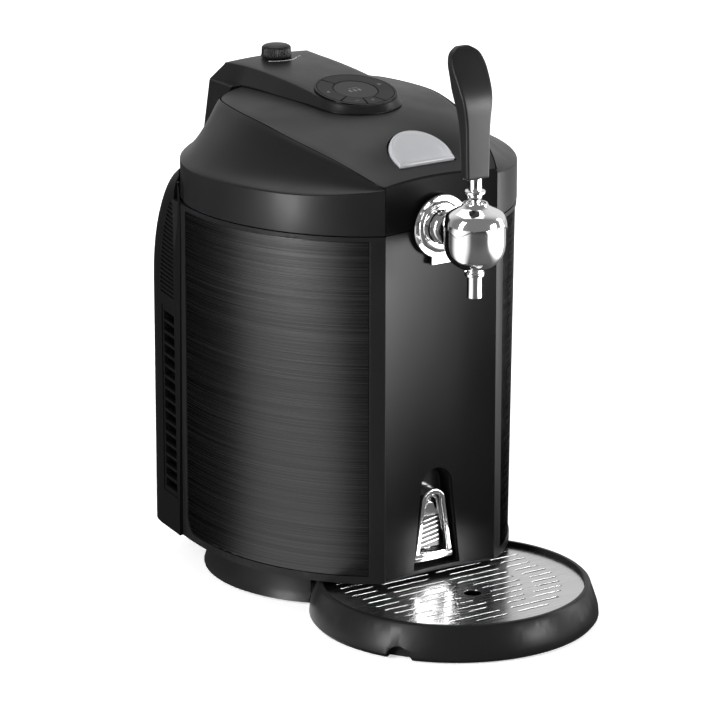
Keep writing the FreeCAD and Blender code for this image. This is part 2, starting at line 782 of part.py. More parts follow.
def body_housing():
    sink = PANEL_SINK + PANEL_THICKNESS
    outer = body_block(0, BODY_BOTTOM, BODY_TOP)
    inner = body_block(WALL + sink, BODY_BOTTOM + WALL, BODY_TOP + 1)
    inner = inner.fuse(box(-118, 118, 20, 80, BODY_BOTTOM + WALL, BODY_TOP + 1))
    shell = outer.cut(inner)
    around = skin_block(sink)
    for side in both_sides(side_window(SEAM)):
        shell = shell.cut(around.common(side))
    pocket = recess_block(WALL, -FRONT_FACE + 2, -FRONT_FACE + RECESS_DEPTH + WALL)
    shell = shell.fuse(pocket)
    shell = shell.cut(skin_block(WALL).common(front_zone(0.1)))
    shell = shell.cut(recess_block(0, -160, -FRONT_FACE + RECESS_DEPTH))
    shell = shell.cut(shank_slot(SHANK_RADIUS + 0.1))
    shell = shell.cut(upright(LINER_INNER - 25, 0, BODY_BOTTOM + WALL + 1))
    for x, y in screw_places():
        shell = shell.cut(upright(1.6, BODY_BOTTOM - 1, BODY_BOTTOM + WALL + 1, x, y))
    return shell.removeSplitter()


def side_panel():
    sheet = body_block(PANEL_SINK, PANEL_LOW - 5, PANEL_HIGH + 3)
    sheet = sheet.cut(body_block(PANEL_SINK + PANEL_THICKNESS, PANEL_LOW - 6, PANEL_HIGH + 4))
    return sheet.common(side_window(0))


def front_panel():
    sheet = body_block(0, BODY_BOTTOM, BODY_TOP)
    sheet = sheet.cut(body_block(WALL, BODY_BOTTOM - 1, BODY_TOP + 1))
    sheet = sheet.common(front_zone(0))
    sheet = sheet.cut(recess_block(0.1, -160, -100))
    return sheet.cut(shank_slot(SHANK_RADIUS + 0.1))


def top_deck():
    inset = WALL + PANEL_SINK + PANEL_THICKNESS + SEAM
    plate = body_block(inset, DECK_BOTTOM, DECK_TOP)
    plate = plate.common(box(-200, 200, -200, 40, 0, 400))
    plate = plate.fuse(upright(FOAM_OUTER + 2, DECK_BOTTOM, DECK_TOP))
    plate = plate.cut(upright(LINER_OUTER + 0.2, DECK_BOTTOM - 1, DECK_TOP + 1))
    plate = plate.cut(hook_slots())
    return plate.cut(shank_slot(20)).removeSplitter()


def hook_slots():
    return Part.Compound([box(20, 30, -124.3, -112, DECK_BOTTOM - 1, DECK_TOP + 1),
                          box(-30, -20, -124.3, -112, DECK_BOTTOM - 1, DECK_TOP + 1)])


def chamber_liner():
    cup = upright(LINER_OUTER, CHAMBER_FLOOR, DECK_TOP)
    cup = cup.fuse(upright(LINER_OUTER + FLANGE_WIDTH - LINER_WALL, DECK_TOP,
                           DECK_TOP + LINER_WALL))
    cup = cup.cut(upright(LINER_INNER, CHAMBER_FLOOR + LINER_WALL, DECK_TOP + LINER_WALL + 1))
    low = KEG_TOP + 0.5
    cup = cup.cut(Part.makeCone(LINER_INNER, LINER_INNER + MOUTH_STEP, 2, V(0, 0, low)))
    cup = cup.cut(upright(LINER_INNER + MOUTH_STEP, low + 2, DECK_TOP + LINER_WALL + 1))
    return cup.cut(shank_slot(BEER_LINE_RADIUS + LINE_CLEARANCE, -80.0))


def insulation_jacket():
    low = BODY_BOTTOM + WALL
    jacket = upright(FOAM_OUTER, low + 0.2, DECK_BOTTOM - 0.2)
    jacket = jacket.cut(upright(LINER_OUTER + 0.3, CHAMBER_FLOOR - 0.2, DECK_BOTTOM))
    jacket = jacket.cut(cooling_gap(1.0))
    return jacket


def cooling_gap(grow):
    return box(-32 - grow, 32 + grow, 75, 120, 118 - grow, 222 + grow)


def chamber_gasket():
    low = DECK_TOP + LINER_WALL
    seal = ring(LINER_OUTER + 6.5, LINER_OUTER + 1.0, low, low + GASKET_HEIGHT - 0.4)
    return seal.cut(shank_slot(BEER_LINE_RADIUS + LINE_CLEARANCE, -80.0))


# ---- bottle opener ----
def bottle_opener():
    """Chrome plate with an arched hood and a loop that catches the cap."""
    back = -FRONT_FACE + RECESS_DEPTH
    plate = recess_block(-2.0, back - 2.0, back)
    lip = recess_block(-3.0, back - 13.0, back - 2.0).cut(recess_block(-6.0, back - 14.0, back))
    loop = Part.makeCylinder(14.5, 4.0, V(0, back - 15.0, 52), V(0, 0, 1))
    loop = loop.cut(Part.makeCylinder(10.5, 6.0, V(0, back - 15.0, 51), V(0, 0, 1)))
    loop = loop.common(box(-20, 20, -170, back, 40, 70))
    arms = box(-15, -10.5, back - 16, back, 52, 56).fuse(box(10.5, 15, back - 16, back, 52, 56))
    window = box(-10, 10, back - 3, back + 1, 60, 74)
    return plate.fuse(lip).cut(window).fuse(loop).fuse(arms).removeSplitter()


def opener_screws():
    back = -FRONT_FACE + RECESS_DEPTH - 2.0
    screws = []
    for z in (86.0, 44.5):
        head = along_y(3.4, back - 1.8, back, 0, z)
        screws.append(head.cut(box(-0.5, 0.5, back - 3, back - 1.1, z - 3, z + 3)))
    return Part.Compound(screws)


# ---- rear cover and cooling ----
def cover_edge_cut():
    """Everything in front of the slanted front edge of the rear cover."""
    points = [V(-200, COVER_EDGE_LOW, 0), V(-200, COVER_EDGE_LOW, 44),
              V(-200, COVER_EDGE_HIGH, 286), V(-200, COVER_EDGE_HIGH - 3, 400),
              V(-200, -300, 400), V(-200, -300, 0)]
    return prism(polygon_wire(points), V(400, 0, 0))


def louvre_window(grow):
    """Block through the right side wall for the louvre grille."""
    return box(95, 200, LOUVRE_FRONT - grow, LOUVRE_REAR + grow, LOUVRE_LOW - grow,
               LOUVRE_HIGH + grow)


def rib_grooves():
    """Fine grooves of the curved vent above the louvre, right side."""
    grooves = []
    skin = cover_block(0, COVER_TOP - 5).cut(cover_block(1.4, COVER_TOP - 5))
    for i in range(RIB_COUNT):
        z = RIB_LOW + i * RIB_PITCH
        rear = RIB_REAR - cover_shift(z + 4)
        if rear > RIB_FRONT + 3:
            grooves.append(box(100, 200, RIB_FRONT, rear, z, z + RIB_PITCH * 0.5))
    return skin.common(Part.Compound(grooves))


def rear_cover():
    block = cover_block(0, COVER_TOP)
    hollow = cover_block(WALL, REAR_DECK - WALL)
    swing = band_block(-1.2, REAR_DECK, COVER_TOP + 5)
    reach = HINGE_X + KNUCKLE_WIDTH / 2 + LUG_WIDTH + HINGE_ROOM
    swing = swing.fuse(box(-reach, reach, BRACKET_FRONT, 200, REAR_DECK, COVER_TOP + 5))
    shell = block.cut(hollow).cut(swing).cut(cover_edge_cut())
    body = Part.makeLoft([body_plan(BODY_BOTTOM - 1, 0), body_plan(COVER_TOP + 1, 0)], True, True)
    shell = shell.cut(body.common(box(-200, 200, -200, BODY_SPLIT + SEAM, 0, 400)))
    shell = shell.cut(upright(FOAM_OUTER + 2.4, DECK_BOTTOM - 3, REAR_DECK + 1))
    shell = shell.cut(Part.Compound(both_sides(louvre_window(SEAM))))
    shell = shell.cut(Part.Compound(both_sides(rib_grooves())))
    slots = []
    for i in range(-5, 6):
        half = math.sqrt(38.0 ** 2 - (i * 6.5) ** 2)
        slots.append(box(-half, half, COVER_DEPTH - 20, COVER_DEPTH + 5, FAN_Z + i * 6.5 - 1.5,
                         FAN_Z + i * 6.5 + 1.5))
    shell = shell.cut(Part.Compound(slots))
    shell = shell.cut(box(-14, 14, COVER_DEPTH - 20, COVER_DEPTH + 5, 48, 66))
    floor = cover_block(WALL, BODY_BOTTOM + 70).common(
        box(-200, 200, BODY_SPLIT + SEAM, 200, BODY_BOTTOM, BODY_BOTTOM + WALL))
    return largest(shell.fuse(floor))


def largest(shape):
    return max(shape.Solids, key=lambda solid: solid.Volume)


def vent_grille():
    """Louvre grille of the right side: a frame with slanted slats."""
    skin = cover_block(0.6, 260.0).cut(cover_block(WALL + 0.6, 261.0))
    frame = skin.common(louvre_window(0))
    pitch = (LOUVRE_HIGH - LOUVRE_LOW - 6.0) / (LOUVRE_SLATS + 1)
    openings = []
    for i in range(LOUVRE_SLATS + 1):
        z = LOUVRE_LOW + 3.0 + i * pitch
        openings.append(box(90, 200, LOUVRE_FRONT + 3, LOUVRE_REAR - 3, z + 1.2, z + pitch - 1.2))
    return frame.cut(Part.Compound(openings))


def cold_block():
    block = box(-30, 30, 80, COLD_FACE, FAN_Z - 50, FAN_Z + 50)
    return block.cut(upright(LINER_OUTER, 50, 300))


def peltier_module():
    return box(-20, 20, COLD_FACE, COLD_FACE + PELTIER_THICKNESS, FAN_Z - 20, FAN_Z + 20)


def heat_sink():
    start = COLD_FACE + PELTIER_THICKNESS
    low = FAN_Z - SINK_HALF_HEIGHT
    high = FAN_Z + SINK_HALF_HEIGHT
    sink = box(-SINK_HALF_WIDTH, SINK_HALF_WIDTH, start, start + SINK_BASE, low, high)
    pitch = (2 * SINK_HALF_WIDTH - FIN_THICKNESS) / (FIN_COUNT - 1)
    for i in range(FIN_COUNT):
        x = -SINK_HALF_WIDTH + i * pitch
        sink = sink.fuse(box(x, x + FIN_THICKNESS, start, start + SINK_DEPTH, low, high))
    return sink.removeSplitter()


def fan_start():
    return COLD_FACE + PELTIER_THICKNESS + SINK_DEPTH


def fan_frame():
    start = fan_start()
    half = FAN_SIZE / 2
    frame = box(-half, half, start, start + FAN_DEPTH, FAN_Z - half, FAN_Z + half)
    frame = frame.cut(along_y(FAN_BORE, start - 1, start + FAN_DEPTH + 1, 0, FAN_Z))
    motor = along_y(12, start, start + 2, 0, FAN_Z)
    struts = box(-38, 38, start, start + 2, FAN_Z - 2, FAN_Z + 2)
    struts = struts.fuse(box(-2, 2, start, start + 2, FAN_Z - 38, FAN_Z + 38))
    pin = along_y(1.5, start, start + 8, 0, FAN_Z)
    return frame.fuse(struts).fuse(motor).fuse(pin)


def fan_rotor():
    start = fan_start() + 2.6
    hub = along_y(13, start, start + 6.8, 0, FAN_Z)
    for i in range(7):
        blade = box(-7, 7, start + 2.6, start + 4.0, 11, 35)
        blade.rotate(V(0, start + 3, 0), V(0, 0, 1), 14)
        blade.rotate(V(0, 0, 0), V(0, 1, 0), i * 360 / 7)
        blade.translate(V(0, 0, FAN_Z))
        hub = hub.fuse(blade)
    return hub.cut(along_y(1.55, start - 1, start + 5.8, 0, FAN_Z))


def power_inlet():
    rear = COVER_DEPTH - 1.0
    block = box(-13.7, 13.7, rear - 16, rear, 48.3, 65.7)
    wall = COVER_DEPTH - WALL
    flange = box(-17, 17, wall - 2.1, wall - 0.5, 45, 69)
    socket = box(-10, 10, rear - 11, rear + 1, 51, 63)
    pins = along_y(1.2, rear - 12, rear - 3, -4.5, 57).fuse(
        along_y(1.2, rear - 12, rear - 3, 4.5, 57))
    return block.fuse(flange).cut(socket).fuse(pins)


def control_board():
    board = box(-38, 38, -116.0, -114.4, 190, 260)
    for x, z, w, h, d in ((-24, 240, 16, 12, 5), (8, 236, 22, 16, 4), (0, 205, 30, 10, 6)):
        board = board.fuse(box(x, x + w, -114.4, -114.4 + d, z, z + h))
    for x in (-33, 33):
        for z in (195, 255):
            board = board.fuse(along_y(2.5, -132.9, -116.0, x, z))
    return board


# ---- lid ----
def front_wall():
    """Inner front wall of the lid, behind the glossy plate."""
    half = FRONT_PANEL_HALF - 0.4
    curves = []
    for depth in (FRONT_PLATE + 0.1, FRONT_PLATE + LID_WALL):
        y = -NOSE + depth
        curves.append([V(-half, y, LID_BOTTOM), V(0, y + FRONT_HOLLOW, LID_BOTTOM),
                       V(half, y, LID_BOTTOM)])
    front, rear = curves
    edges = [
        Part.Arc(*front).toShape(),
        Part.LineSegment(front[2], rear[2]).toShape(),
        Part.Arc(*reversed(rear)).toShape(),
        Part.LineSegment(rear[0], front[0]).toShape(),
    ]
    wall = prism(Part.Wire(edges), V(0, 0, 60))
    return wall.common(below(dome_face(), 3.2, 60))


def lid_shell():
    """Band with the sloping shoulder, open under the cover."""
    shell = shoulder_shell().fuse(front_wall())
    shell = shell.cut(lid_notch(SHANK_RADIUS + 3))
    shell = shell.cut(hinge_notches()).fuse(hinge_knuckles())
    return largest(shell)


def lid_notch(radius):
    notch = along_y(radius, -160, -90, 0, SHANK_Z)
    return notch.fuse(box(-radius, radius, -160, -90, 300, SHANK_Z))


def hinge_notches():
    """Room for the hinge brackets through the rear of the band."""
    half = KNUCKLE_WIDTH / 2 + LUG_WIDTH + HINGE_ROOM
    notch = box(HINGE_X - half, HINGE_X + half, 96, 140, 300, 341)
    return Part.Compound(both_sides(notch))


def hinge_knuckles():
    half = KNUCKLE_WIDTH / 2
    knuckle = along_x(KNUCKLE_RADIUS, HINGE_X - half, HINGE_X + half, HINGE_Y, HINGE_Z)
    knuckle = knuckle.fuse(box(HINGE_X - half, HINGE_X + half, HINGE_Y - KNUCKLE_RADIUS,
                               HINGE_Y - 1, HINGE_Z, 345))
    hole = along_x(HINGE_PIN_RADIUS + HINGE_FIT, 0, 100, HINGE_Y, HINGE_Z)
    return Part.Compound(both_sides(knuckle.cut(hole)))


def hinge_lug(start, end):
    """One lug: from the deck back and up to the hinge axis."""
    across = KNUCKLE_RADIUS * 0.75
    along = KNUCKLE_RADIUS * 0.66
    outline = [(BRACKET_FRONT, REAR_DECK), (BRACKET_REAR, REAR_DECK),
               (HINGE_Y + across, HINGE_Z - along), (HINGE_Y - across, HINGE_Z + along)]
    arm = prism(polygon_wire([V(start, y, z) for y, z in outline]), V(end - start, 0, 0))
    return arm.fuse(along_x(KNUCKLE_RADIUS, start, end, HINGE_Y, HINGE_Z))


def hinge_brackets():
    """Two lugs on a foot on the rear deck, each side."""
    inner = KNUCKLE_WIDTH / 2 + 0.4
    half = inner + LUG_WIDTH
    bracket = box(HINGE_X - half, HINGE_X + half, BRACKET_FRONT, BRACKET_REAR, REAR_DECK,
                  REAR_DECK + BRACKET_THICKNESS)
    bracket = bracket.fuse(hinge_lug(HINGE_X - half, HINGE_X - inner))
    bracket = bracket.fuse(hinge_lug(HINGE_X + inner, HINGE_X + half))
    hole = along_x(HINGE_PIN_RADIUS, 0, 100, HINGE_Y, HINGE_Z)
    return Part.Compound(both_sides(bracket.cut(hole)))


def hinge_pins():
    half = KNUCKLE_WIDTH / 2 + 0.4 + LUG_WIDTH
    pin = along_x(HINGE_PIN_RADIUS, HINGE_X - half, HINGE_X + half, HINGE_Y, HINGE_Z)
    return Part.Compound(both_sides(pin))


def front_wedge():
    """Room between the two ends of the shoulder."""
    x, y = band_point(SHOULDER[0][0])
    corner = V(x - PLATE_SEAM, y, 300)
    along = outward(SHOULDER[0][0])
    front, rear = corner + along * 30, corner - along * 30
    points = [front, rear, V(-rear.x, rear.y, 300), V(-front.x, front.y, 300)]
    return prism(polygon_wire(points), V(0, 0, 120))


def lid_front_plate():
    strip = band_block(0, LID_BOTTOM, 420).cut(band_block(FRONT_PLATE, LID_BOTTOM - 1, 421))
    plate = strip.common(front_wedge())
    plate = plate.common(below(dome_face(), 0.0, 120))
    return largest(plate.cut(lid_notch(SHANK_RADIUS + 3)))


def button_frame():
    """Local frame on the slope of the cover, z along the outward normal."""
    middle = BUTTON_Y + BUTTON_DEPTH * 0.5
    height = BUTTON_Z
    turn = FreeCAD.Rotation(V(1, 0, 0), BUTTON_SLOPE)
    return FreeCAD.Placement(V(0, middle, height), turn)


def half_moon(grow, low, high):
    """Half-moon seen along the slope, straight side in front."""
    half = BUTTON_HALF + grow
    depth = BUTTON_DEPTH / math.cos(math.radians(BUTTON_SLOPE)) + 2 * grow
    front = -depth / 2
    points = [V(-half, front, low), V(half, front, low)]
    edges = [Part.LineSegment(points[0], points[1]).toShape()]
    edges.append(Part.LineSegment(points[1], V(half, front + 4, low)).toShape())
    edges.append(Part.Arc(V(half, front + 4, low), V(0, depth / 2, low),
                          V(-half, front + 4, low)).toShape())
    edges.append(Part.LineSegment(V(-half, front + 4, low), points[0]).toShape())
    block = prism(Part.Wire(edges), V(0, 0, high - low))
    block.Placement = button_frame()
    return block


def lid_cover():
    """Domed plate with the raised spine and the tower behind."""
    dome = dome_face()
    plate = below(dome, 0, 3.0).common(joint_block(COVER_JOINT)).common(band_block(FRONT_PLATE + 0.2, 300, 420))
    spine = spine_block(0).cut(below(dome, 1.0, 60))
    solid = plate.fuse(spine).fuse(tower_block(0))
    cover = solid.cut(spine_block(3.0)).cut(tower_hollow())
    cover = cover.cut(half_moon(0.4, -12, 14))
    cover = cover.cut(pad_local(upright(BEZEL_RADIUS - 0.2, -9, 10)))
    cover = cover.cut(pad_local(upright(BEZEL_RADIUS + 0.2, -1.6, 10)))
    cover = cover.cut(upright(SPINDLE_RADIUS + 0.6, 395, 420, 0, KNOB_Y))
    cover = cover.cut(along_y(CARTRIDGE_RADIUS + SLEEVE_WALL + 0.3, 100, 150, CARTRIDGE_X,
                              CARTRIDGE_Z))
    return largest(cover.removeSplitter())


def lid_liner():
    """Inner tray of the lid that closes the chamber, with the seat of the button spring."""
    top = LID_LINER_Z + LID_LINER_THICKNESS
    plate = band_block(LID_WALL + SEAM, LID_LINER_Z, top)
    front = -(NOSE - FRONT_PLATE - LID_WALL - FRONT_HOLLOW) + SEAM
    plate = plate.cut(box(-60, 60, -160, front, 300, 340))
    plate = plate.cut(box(-36, 36, -160, -96, 300, 340))
    plate = plate.cut(box(-5, 5, -97, -60, 300, 340))
    plate = plate.cut(upright(COUPLER_NECK, 300, 340))
    plate = plate.cut(hinge_notches()).cut(box(-60, 60, 108, 140, 300, 340))
    seat = Part.makeBox(60, 60, 40, V(-30, -30, SPRING_SEAT))
    seat.Placement = button_frame()
    post = box(-9, 9, SPRING_Y - 5, SPRING_Y + 5, top, 380).cut(seat)
    return plate.fuse(post)


def lid_foam():
    low = LID_LINER_Z + LID_LINER_THICKNESS + 0.1
    high = low + LID_FOAM_HEIGHT
    foam = upright(LID_FOAM_RADIUS, low, high)
    foam = foam.cut(upright(COUPLER_NECK + 2, low - 1, high + 1))
    return foam.cut(box(-6, 6, 0, LID_FOAM_RADIUS + 5, low - 1, high + 1))


def pad_local(shape):
    """Moves a piece drawn about its own axis to the tilted control pad."""
    shape.Placement = FreeCAD.Placement(V(0, PAD_Y, PAD_Z), FreeCAD.Rotation(V(1, 0, 0), PAD_TILT))
    return shape


def pad_bezel():
    """Cup under the keys, with a flange on the spine and a post for the display."""
    inner = PAD_RADIUS + KEY_GAP - 0.1
    flange = ring(BEZEL_RADIUS, inner, -1.6, 0.5)
    cup = upright(BEZEL_RADIUS - 0.4, -6.5, -1.0).cut(upright(inner, -4.8, 0))
    post = ring(DISPLAY_RADIUS - KEY_GAP, DISPLAY_RADIUS - 2.5, -5, -0.6)
    return pad_local(flange.fuse(cup).fuse(post))


def display_lens():
    return pad_local(upright(DISPLAY_RADIUS - KEY_GAP, -0.6, 0.4))


def pad_key(start, end):
    """One key of the ring, from angle start to angle end."""
    blank = ring(PAD_RADIUS - 0.1, DISPLAY_RADIUS + 0.2, -2.9, 0.6)
    span = end - start
    wedge = Part.makeCylinder(60, 20, V(0, 0, -10), V(0, 0, 1), span)
    wedge.rotate(V(0, 0, 0), V(0, 0, 1), start)
    return pad_local(blank.common(wedge))


KEY_SPANS = {
    "key_left": (120.0, 213.0),
    "key_front_left": (215.0, 254.0),
    "key_front_right": (256.0, 286.0),
    "key_right": (288.0, 478.0),
}


def key_springs():
    """A small dome under each key."""
    domes = []
    for start, end in KEY_SPANS.values():
        angle = math.radians((start + end) / 2)
        radius = (PAD_RADIUS + DISPLAY_RADIUS) / 2
        x = radius * math.cos(angle)
        y = radius * math.sin(angle)
        domes.append(pad_local(upright(2.0, -4.8, -4.0, x, y)))
    return Part.Compound(domes)


def release_button():
    """Satin half-moon, dished on top, with a foot that pushes the latch."""
    blank = half_moon(0, -4.0, 2.2)
    frame = button_frame()
    dish = Part.makeSphere(70, V(0, 0, 0))
    dish.Placement = FreeCAD.Placement(frame.multVec(V(0, -2, 70.4)), FreeCAD.Rotation())
    foot = box(-8, 8, -14, -10, -9, -3.9)
    foot.Placement = frame
    return blank.cut(dish).fuse(foot)


def latch_hook():
    """Yoke with a leg each side of the tap and a ramp under the button's foot."""
    rear = LATCH_FRONT + 5
    hook = box(-34, 34, LATCH_FRONT, rear, LATCH_LOW, LATCH_HIGH)
    foot = DECK_BOTTOM - 6
    for side in (-1, 1):
        low, high = sorted((side * 22, side * 28))
        hook = hook.fuse(box(low, high, LATCH_FRONT, rear - 1, foot, LATCH_HIGH - 2))
        hook = hook.fuse(box(low, high, LATCH_FRONT - 0.9, rear - 1, foot, DECK_BOTTOM - 1.5))
        low, high = sorted((side * 28, side * 34))
        hook = hook.fuse(box(low, high, LATCH_FRONT - 9.6, rear, LATCH_LOW, LATCH_HIGH))
    ramp = [(rear, LATCH_LOW), (rear, LATCH_LOW + 1.05), (rear + 9.6, LATCH_LOW + 18),
            (rear + 14, LATCH_LOW + 18), (rear + 14, LATCH_LOW)]
    wedge = prism(polygon_wire([V(-8, y, z) for y, z in ramp]), V(16, 0, 0))
    return hook.fuse(wedge).removeSplitter()


def latch_spring():
    """Coil spring between the button and its seat on the lid liner."""
    height = -4.3 - SPRING_SEAT - 2 * SPRING_WIRE
    steps = SPRING_TURNS * SPRING_CORNERS
    reach = SPRING_RADIUS / math.cos(math.pi / SPRING_CORNERS) ** 0.5
    points = []
    for i in range(steps + 1):
        angle = 2 * math.pi * i / SPRING_CORNERS
        points.append(V(reach * math.cos(angle), reach * math.sin(angle), height * i / steps))
    coil = tube(points, SPRING_WIRE)
    frame = button_frame()
    start = frame.multVec(V(0, SPRING_SHIFT, SPRING_SEAT + SPRING_WIRE))
    coil.Placement = FreeCAD.Placement(start, frame.Rotation)
    return coil


def pressure_knob():
    knob = upright(KNOB_RADIUS, KNOB_FOOT, KNOB_TOP - 3, 0, KNOB_Y)
    cap = Part.makeCone(KNOB_RADIUS, KNOB_RADIUS - 3.5, 3, V(0, KNOB_Y, KNOB_TOP - 3))
    ribs = []
    for i in range(24):
        angle = math.radians(15 * i)
        ribs.append(upright(0.7, KNOB_FOOT + 1, KNOB_TOP - 3.5, KNOB_RADIUS * math.cos(angle),
                            KNOB_Y + KNOB_RADIUS * math.sin(angle)))
    return knob.fuse(cap).cut(Part.Compound(ribs)).cut(
        upright(SPINDLE_RADIUS, KNOB_FOOT - 1, KNOB_TOP - 5, 0, KNOB_Y))


def knob_spindle():
    return upright(SPINDLE_RADIUS, 396, KNOB_TOP - 5, 0, KNOB_Y)


def regulator_body():
    body = upright(REGULATOR_RADIUS, 368, 405.2, 0, KNOB_Y)
    clamp = box(0, CARTRIDGE_X + 4, KNOB_Y - 8, KNOB_Y + 8, CARTRIDGE_Z + 8, CARTRIDGE_Z + 20)
    body = body.fuse(clamp)
    body = body.cut(along_y(CARTRIDGE_RADIUS + SLEEVE_WALL, 20, 130, CARTRIDGE_X, CARTRIDGE_Z))
    return body.cut(upright(SPINDLE_RADIUS + 0.05, 395, 410, 0, KNOB_Y))


def co2_sleeve():
    outer = CARTRIDGE_RADIUS + SLEEVE_WALL
    rear = tower_rear(CARTRIDGE_Z) + 0.5
    sleeve = along_y(outer, CARTRIDGE_FRONT - 12, rear, CARTRIDGE_X, CARTRIDGE_Z)
    return sleeve.cut(along_y(CARTRIDGE_RADIUS + 0.1, CARTRIDGE_FRONT, rear + 1, CARTRIDGE_X,
                              CARTRIDGE_Z)).cut(
        along_y(4.2, CARTRIDGE_FRONT - 6, rear, CARTRIDGE_X, CARTRIDGE_Z))


def co2_cartridge():
    start = CARTRIDGE_FRONT + 10
    bottle = along_y(CARTRIDGE_RADIUS, start, start + 62, CARTRIDGE_X, CARTRIDGE_Z)
    neck = along_y(4.0, CARTRIDGE_FRONT - 5, start, CARTRIDGE_X, CARTRIDGE_Z)
    cone = Part.makeCone(4.0, CARTRIDGE_RADIUS, 9, V(CARTRIDGE_X, start - 9, CARTRIDGE_Z),
                         V(0, 1, 0))
    end = Part.makeSphere(CARTRIDGE_RADIUS, V(CARTRIDGE_X, start + 62, CARTRIDGE_Z))
    return bottle.fuse(neck).fuse(cone).fuse(end)


def co2_cap():
    rear = tower_rear(CARTRIDGE_Z) + 3.8
    cap = along_y(15, rear, rear + 4, CARTRIDGE_X, CARTRIDGE_Z)
    grip = box(CARTRIDGE_X - 12, CARTRIDGE_X + 12, rear + 4, rear + 6.5, CARTRIDGE_Z - 2,
               CARTRIDGE_Z + 2)
    plug = along_y(CARTRIDGE_RADIUS - 0.3, rear - 11, rear, CARTRIDGE_X, CARTRIDGE_Z)
    return cap.fuse(grip).fuse(plug)


def gas_line():
    """Rigid gas pipe from the regulator down to the coupler."""
    points = [V(0, KNOB_Y, 368), V(0, KNOB_Y, 350), V(0, KNOB_Y - 12, 337), V(0, 62, 333),
              V(0, 36, 331), V(0, COUPLER_NECK, 330.4)]
    return tube(points, GAS_LINE_RADIUS)


def keg_coupler():
    low = KEG_TOP + 4
    body = upright(COUPLER_RADIUS, low, LID_LINER_Z)
    probe = upright(6, low - 3, low)
    neck = upright(COUPLER_NECK, LID_LINER_Z, 336)
    return body.fuse(probe).fuse(neck)


def beer_line():
    """Beer line from the coupler to the socket that meets the tap shank."""
    z = KEG_TOP + 12
    points = [V(0, -COUPLER_RADIUS, z), V(0, -45, z), V(0, -66, z + 6), V(0, -84, SHANK_Z),
              V(0, -99.2, SHANK_Z)]
    return tube(points, BEER_LINE_RADIUS)


# ---- tap ----
def tap_rosette():
    disc = along_y(ROSETTE_RADIUS, -141.5, -134.0, 0, SHANK_Z)
    disc = disc.fuse(along_y(ROSETTE_RADIUS - 4.5, -143.5, -134.0, 0, SHANK_Z))
    tab = box(-10, 10, -142.0, -134.0, TAP_Z - 33, TAP_Z - 20)
    plate = disc.fuse(tab)
    plate = plate.cut(body_block(0, BODY_BOTTOM, BODY_TOP))
    plate = plate.cut(band_block(-0.7, BODY_TOP, 400))
    plate = plate.cut(along_y(SHANK_RADIUS, -150, -120, 0, SHANK_Z))
    return largest(plate)


def tap_shank():
    z = SHANK_Z
    shank = along_y(SHANK_RADIUS, -166, -108, 0, z)
    barb = along_y(5.0, -108, -100, 0, z)
    return shank.fuse(barb).cut(along_y(3.0, -170, -99, 0, z))


def shank_nut():
    """Nut with a washer that fits inside the notch of the lid."""
    wall = -FRONT_FACE + WALL + PANEL_SINK + PANEL_THICKNESS
    washer = along_y(SHANK_RADIUS + 2.5, wall, wall + 2, 0, SHANK_Z)
    washer = washer.cut(along_y(SHANK_RADIUS, wall - 1, wall + 3, 0, SHANK_Z))
    return washer.fuse(hex_nut(30, wall + 2, wall + 10, SHANK_RADIUS, 0, SHANK_Z))


def tap_body():
    """Bulb with a bonnet above, and a sleeve over the shank behind."""
    outline = [V(r, 0, TAP_Z + z) for r, z in TAP_PROFILE]
    section = polygon_wire([V(0, 0, outline[0].z)] + outline + [V(0, 0, outline[-1].z)])
    body = Part.Face(section).revolve(V(0, 0, 0), V(0, 0, 1), 360)
    body.translate(V(0, TAP_Y, 0))
    body = body.fuse(along_y(SLEEVE_RADIUS, -172, -144, 0, SHANK_Z))
    body = body.fuse(along_y(SLEEVE_RADIUS + 2.5, -168, -163, 0, SHANK_Z))
    body = body.cut(along_y(SHANK_RADIUS, -166, -140, 0, SHANK_Z))
    body = body.cut(upright(SPOUT_RADIUS, 280, SPOUT_TOP, 0, TAP_Y))
    socket = Part.makeSphere(7.4, V(0, TAP_Y, LEVER_Z))
    mouth = Part.makeCone(4.6, 9.5, 8, V(0, TAP_Y, LEVER_Z))
    body = body.cut(socket).cut(mouth).cut(upright(9.2, 346, 360, 0, TAP_Y))
    return body.cut(along_x(1.5, -12, 12, TAP_Y, LEVER_Z))


def lever_pin():
    return along_x(1.5, -11.5, 11.5, TAP_Y, LEVER_Z)


def tap_spout():
    spout = upright(SPOUT_RADIUS, SPOUT_BOTTOM, SPOUT_TOP, 0, TAP_Y)
    return spout.cut(upright(SPOUT_RADIUS - 1.4, SPOUT_BOTTOM - 1, SPOUT_TOP - 3, 0, TAP_Y))


def lever_stem():
    ball = Part.makeSphere(7.0, V(0, TAP_Y, LEVER_Z))
    neck = upright(NECK_RADIUS, LEVER_Z, COLLAR_LOW, 0, TAP_Y)
    collar = Part.makeCone(NECK_RADIUS + 1, COLLAR_RADIUS, COLLAR_RISE, V(0, TAP_Y, COLLAR_LOW))
    top = COLLAR_LOW + COLLAR_RISE
    collar = collar.fuse(upright(COLLAR_RADIUS + 1.6, top, top + COLLAR_RING, 0, TAP_Y))
    stem = upright(STEM_RADIUS, top, HANDLE_FOOT, 0, TAP_Y)
    lever = ball.fuse(neck).fuse(collar).fuse(stem)
    return lever.cut(along_x(1.56, -12, 12, TAP_Y, LEVER_Z))


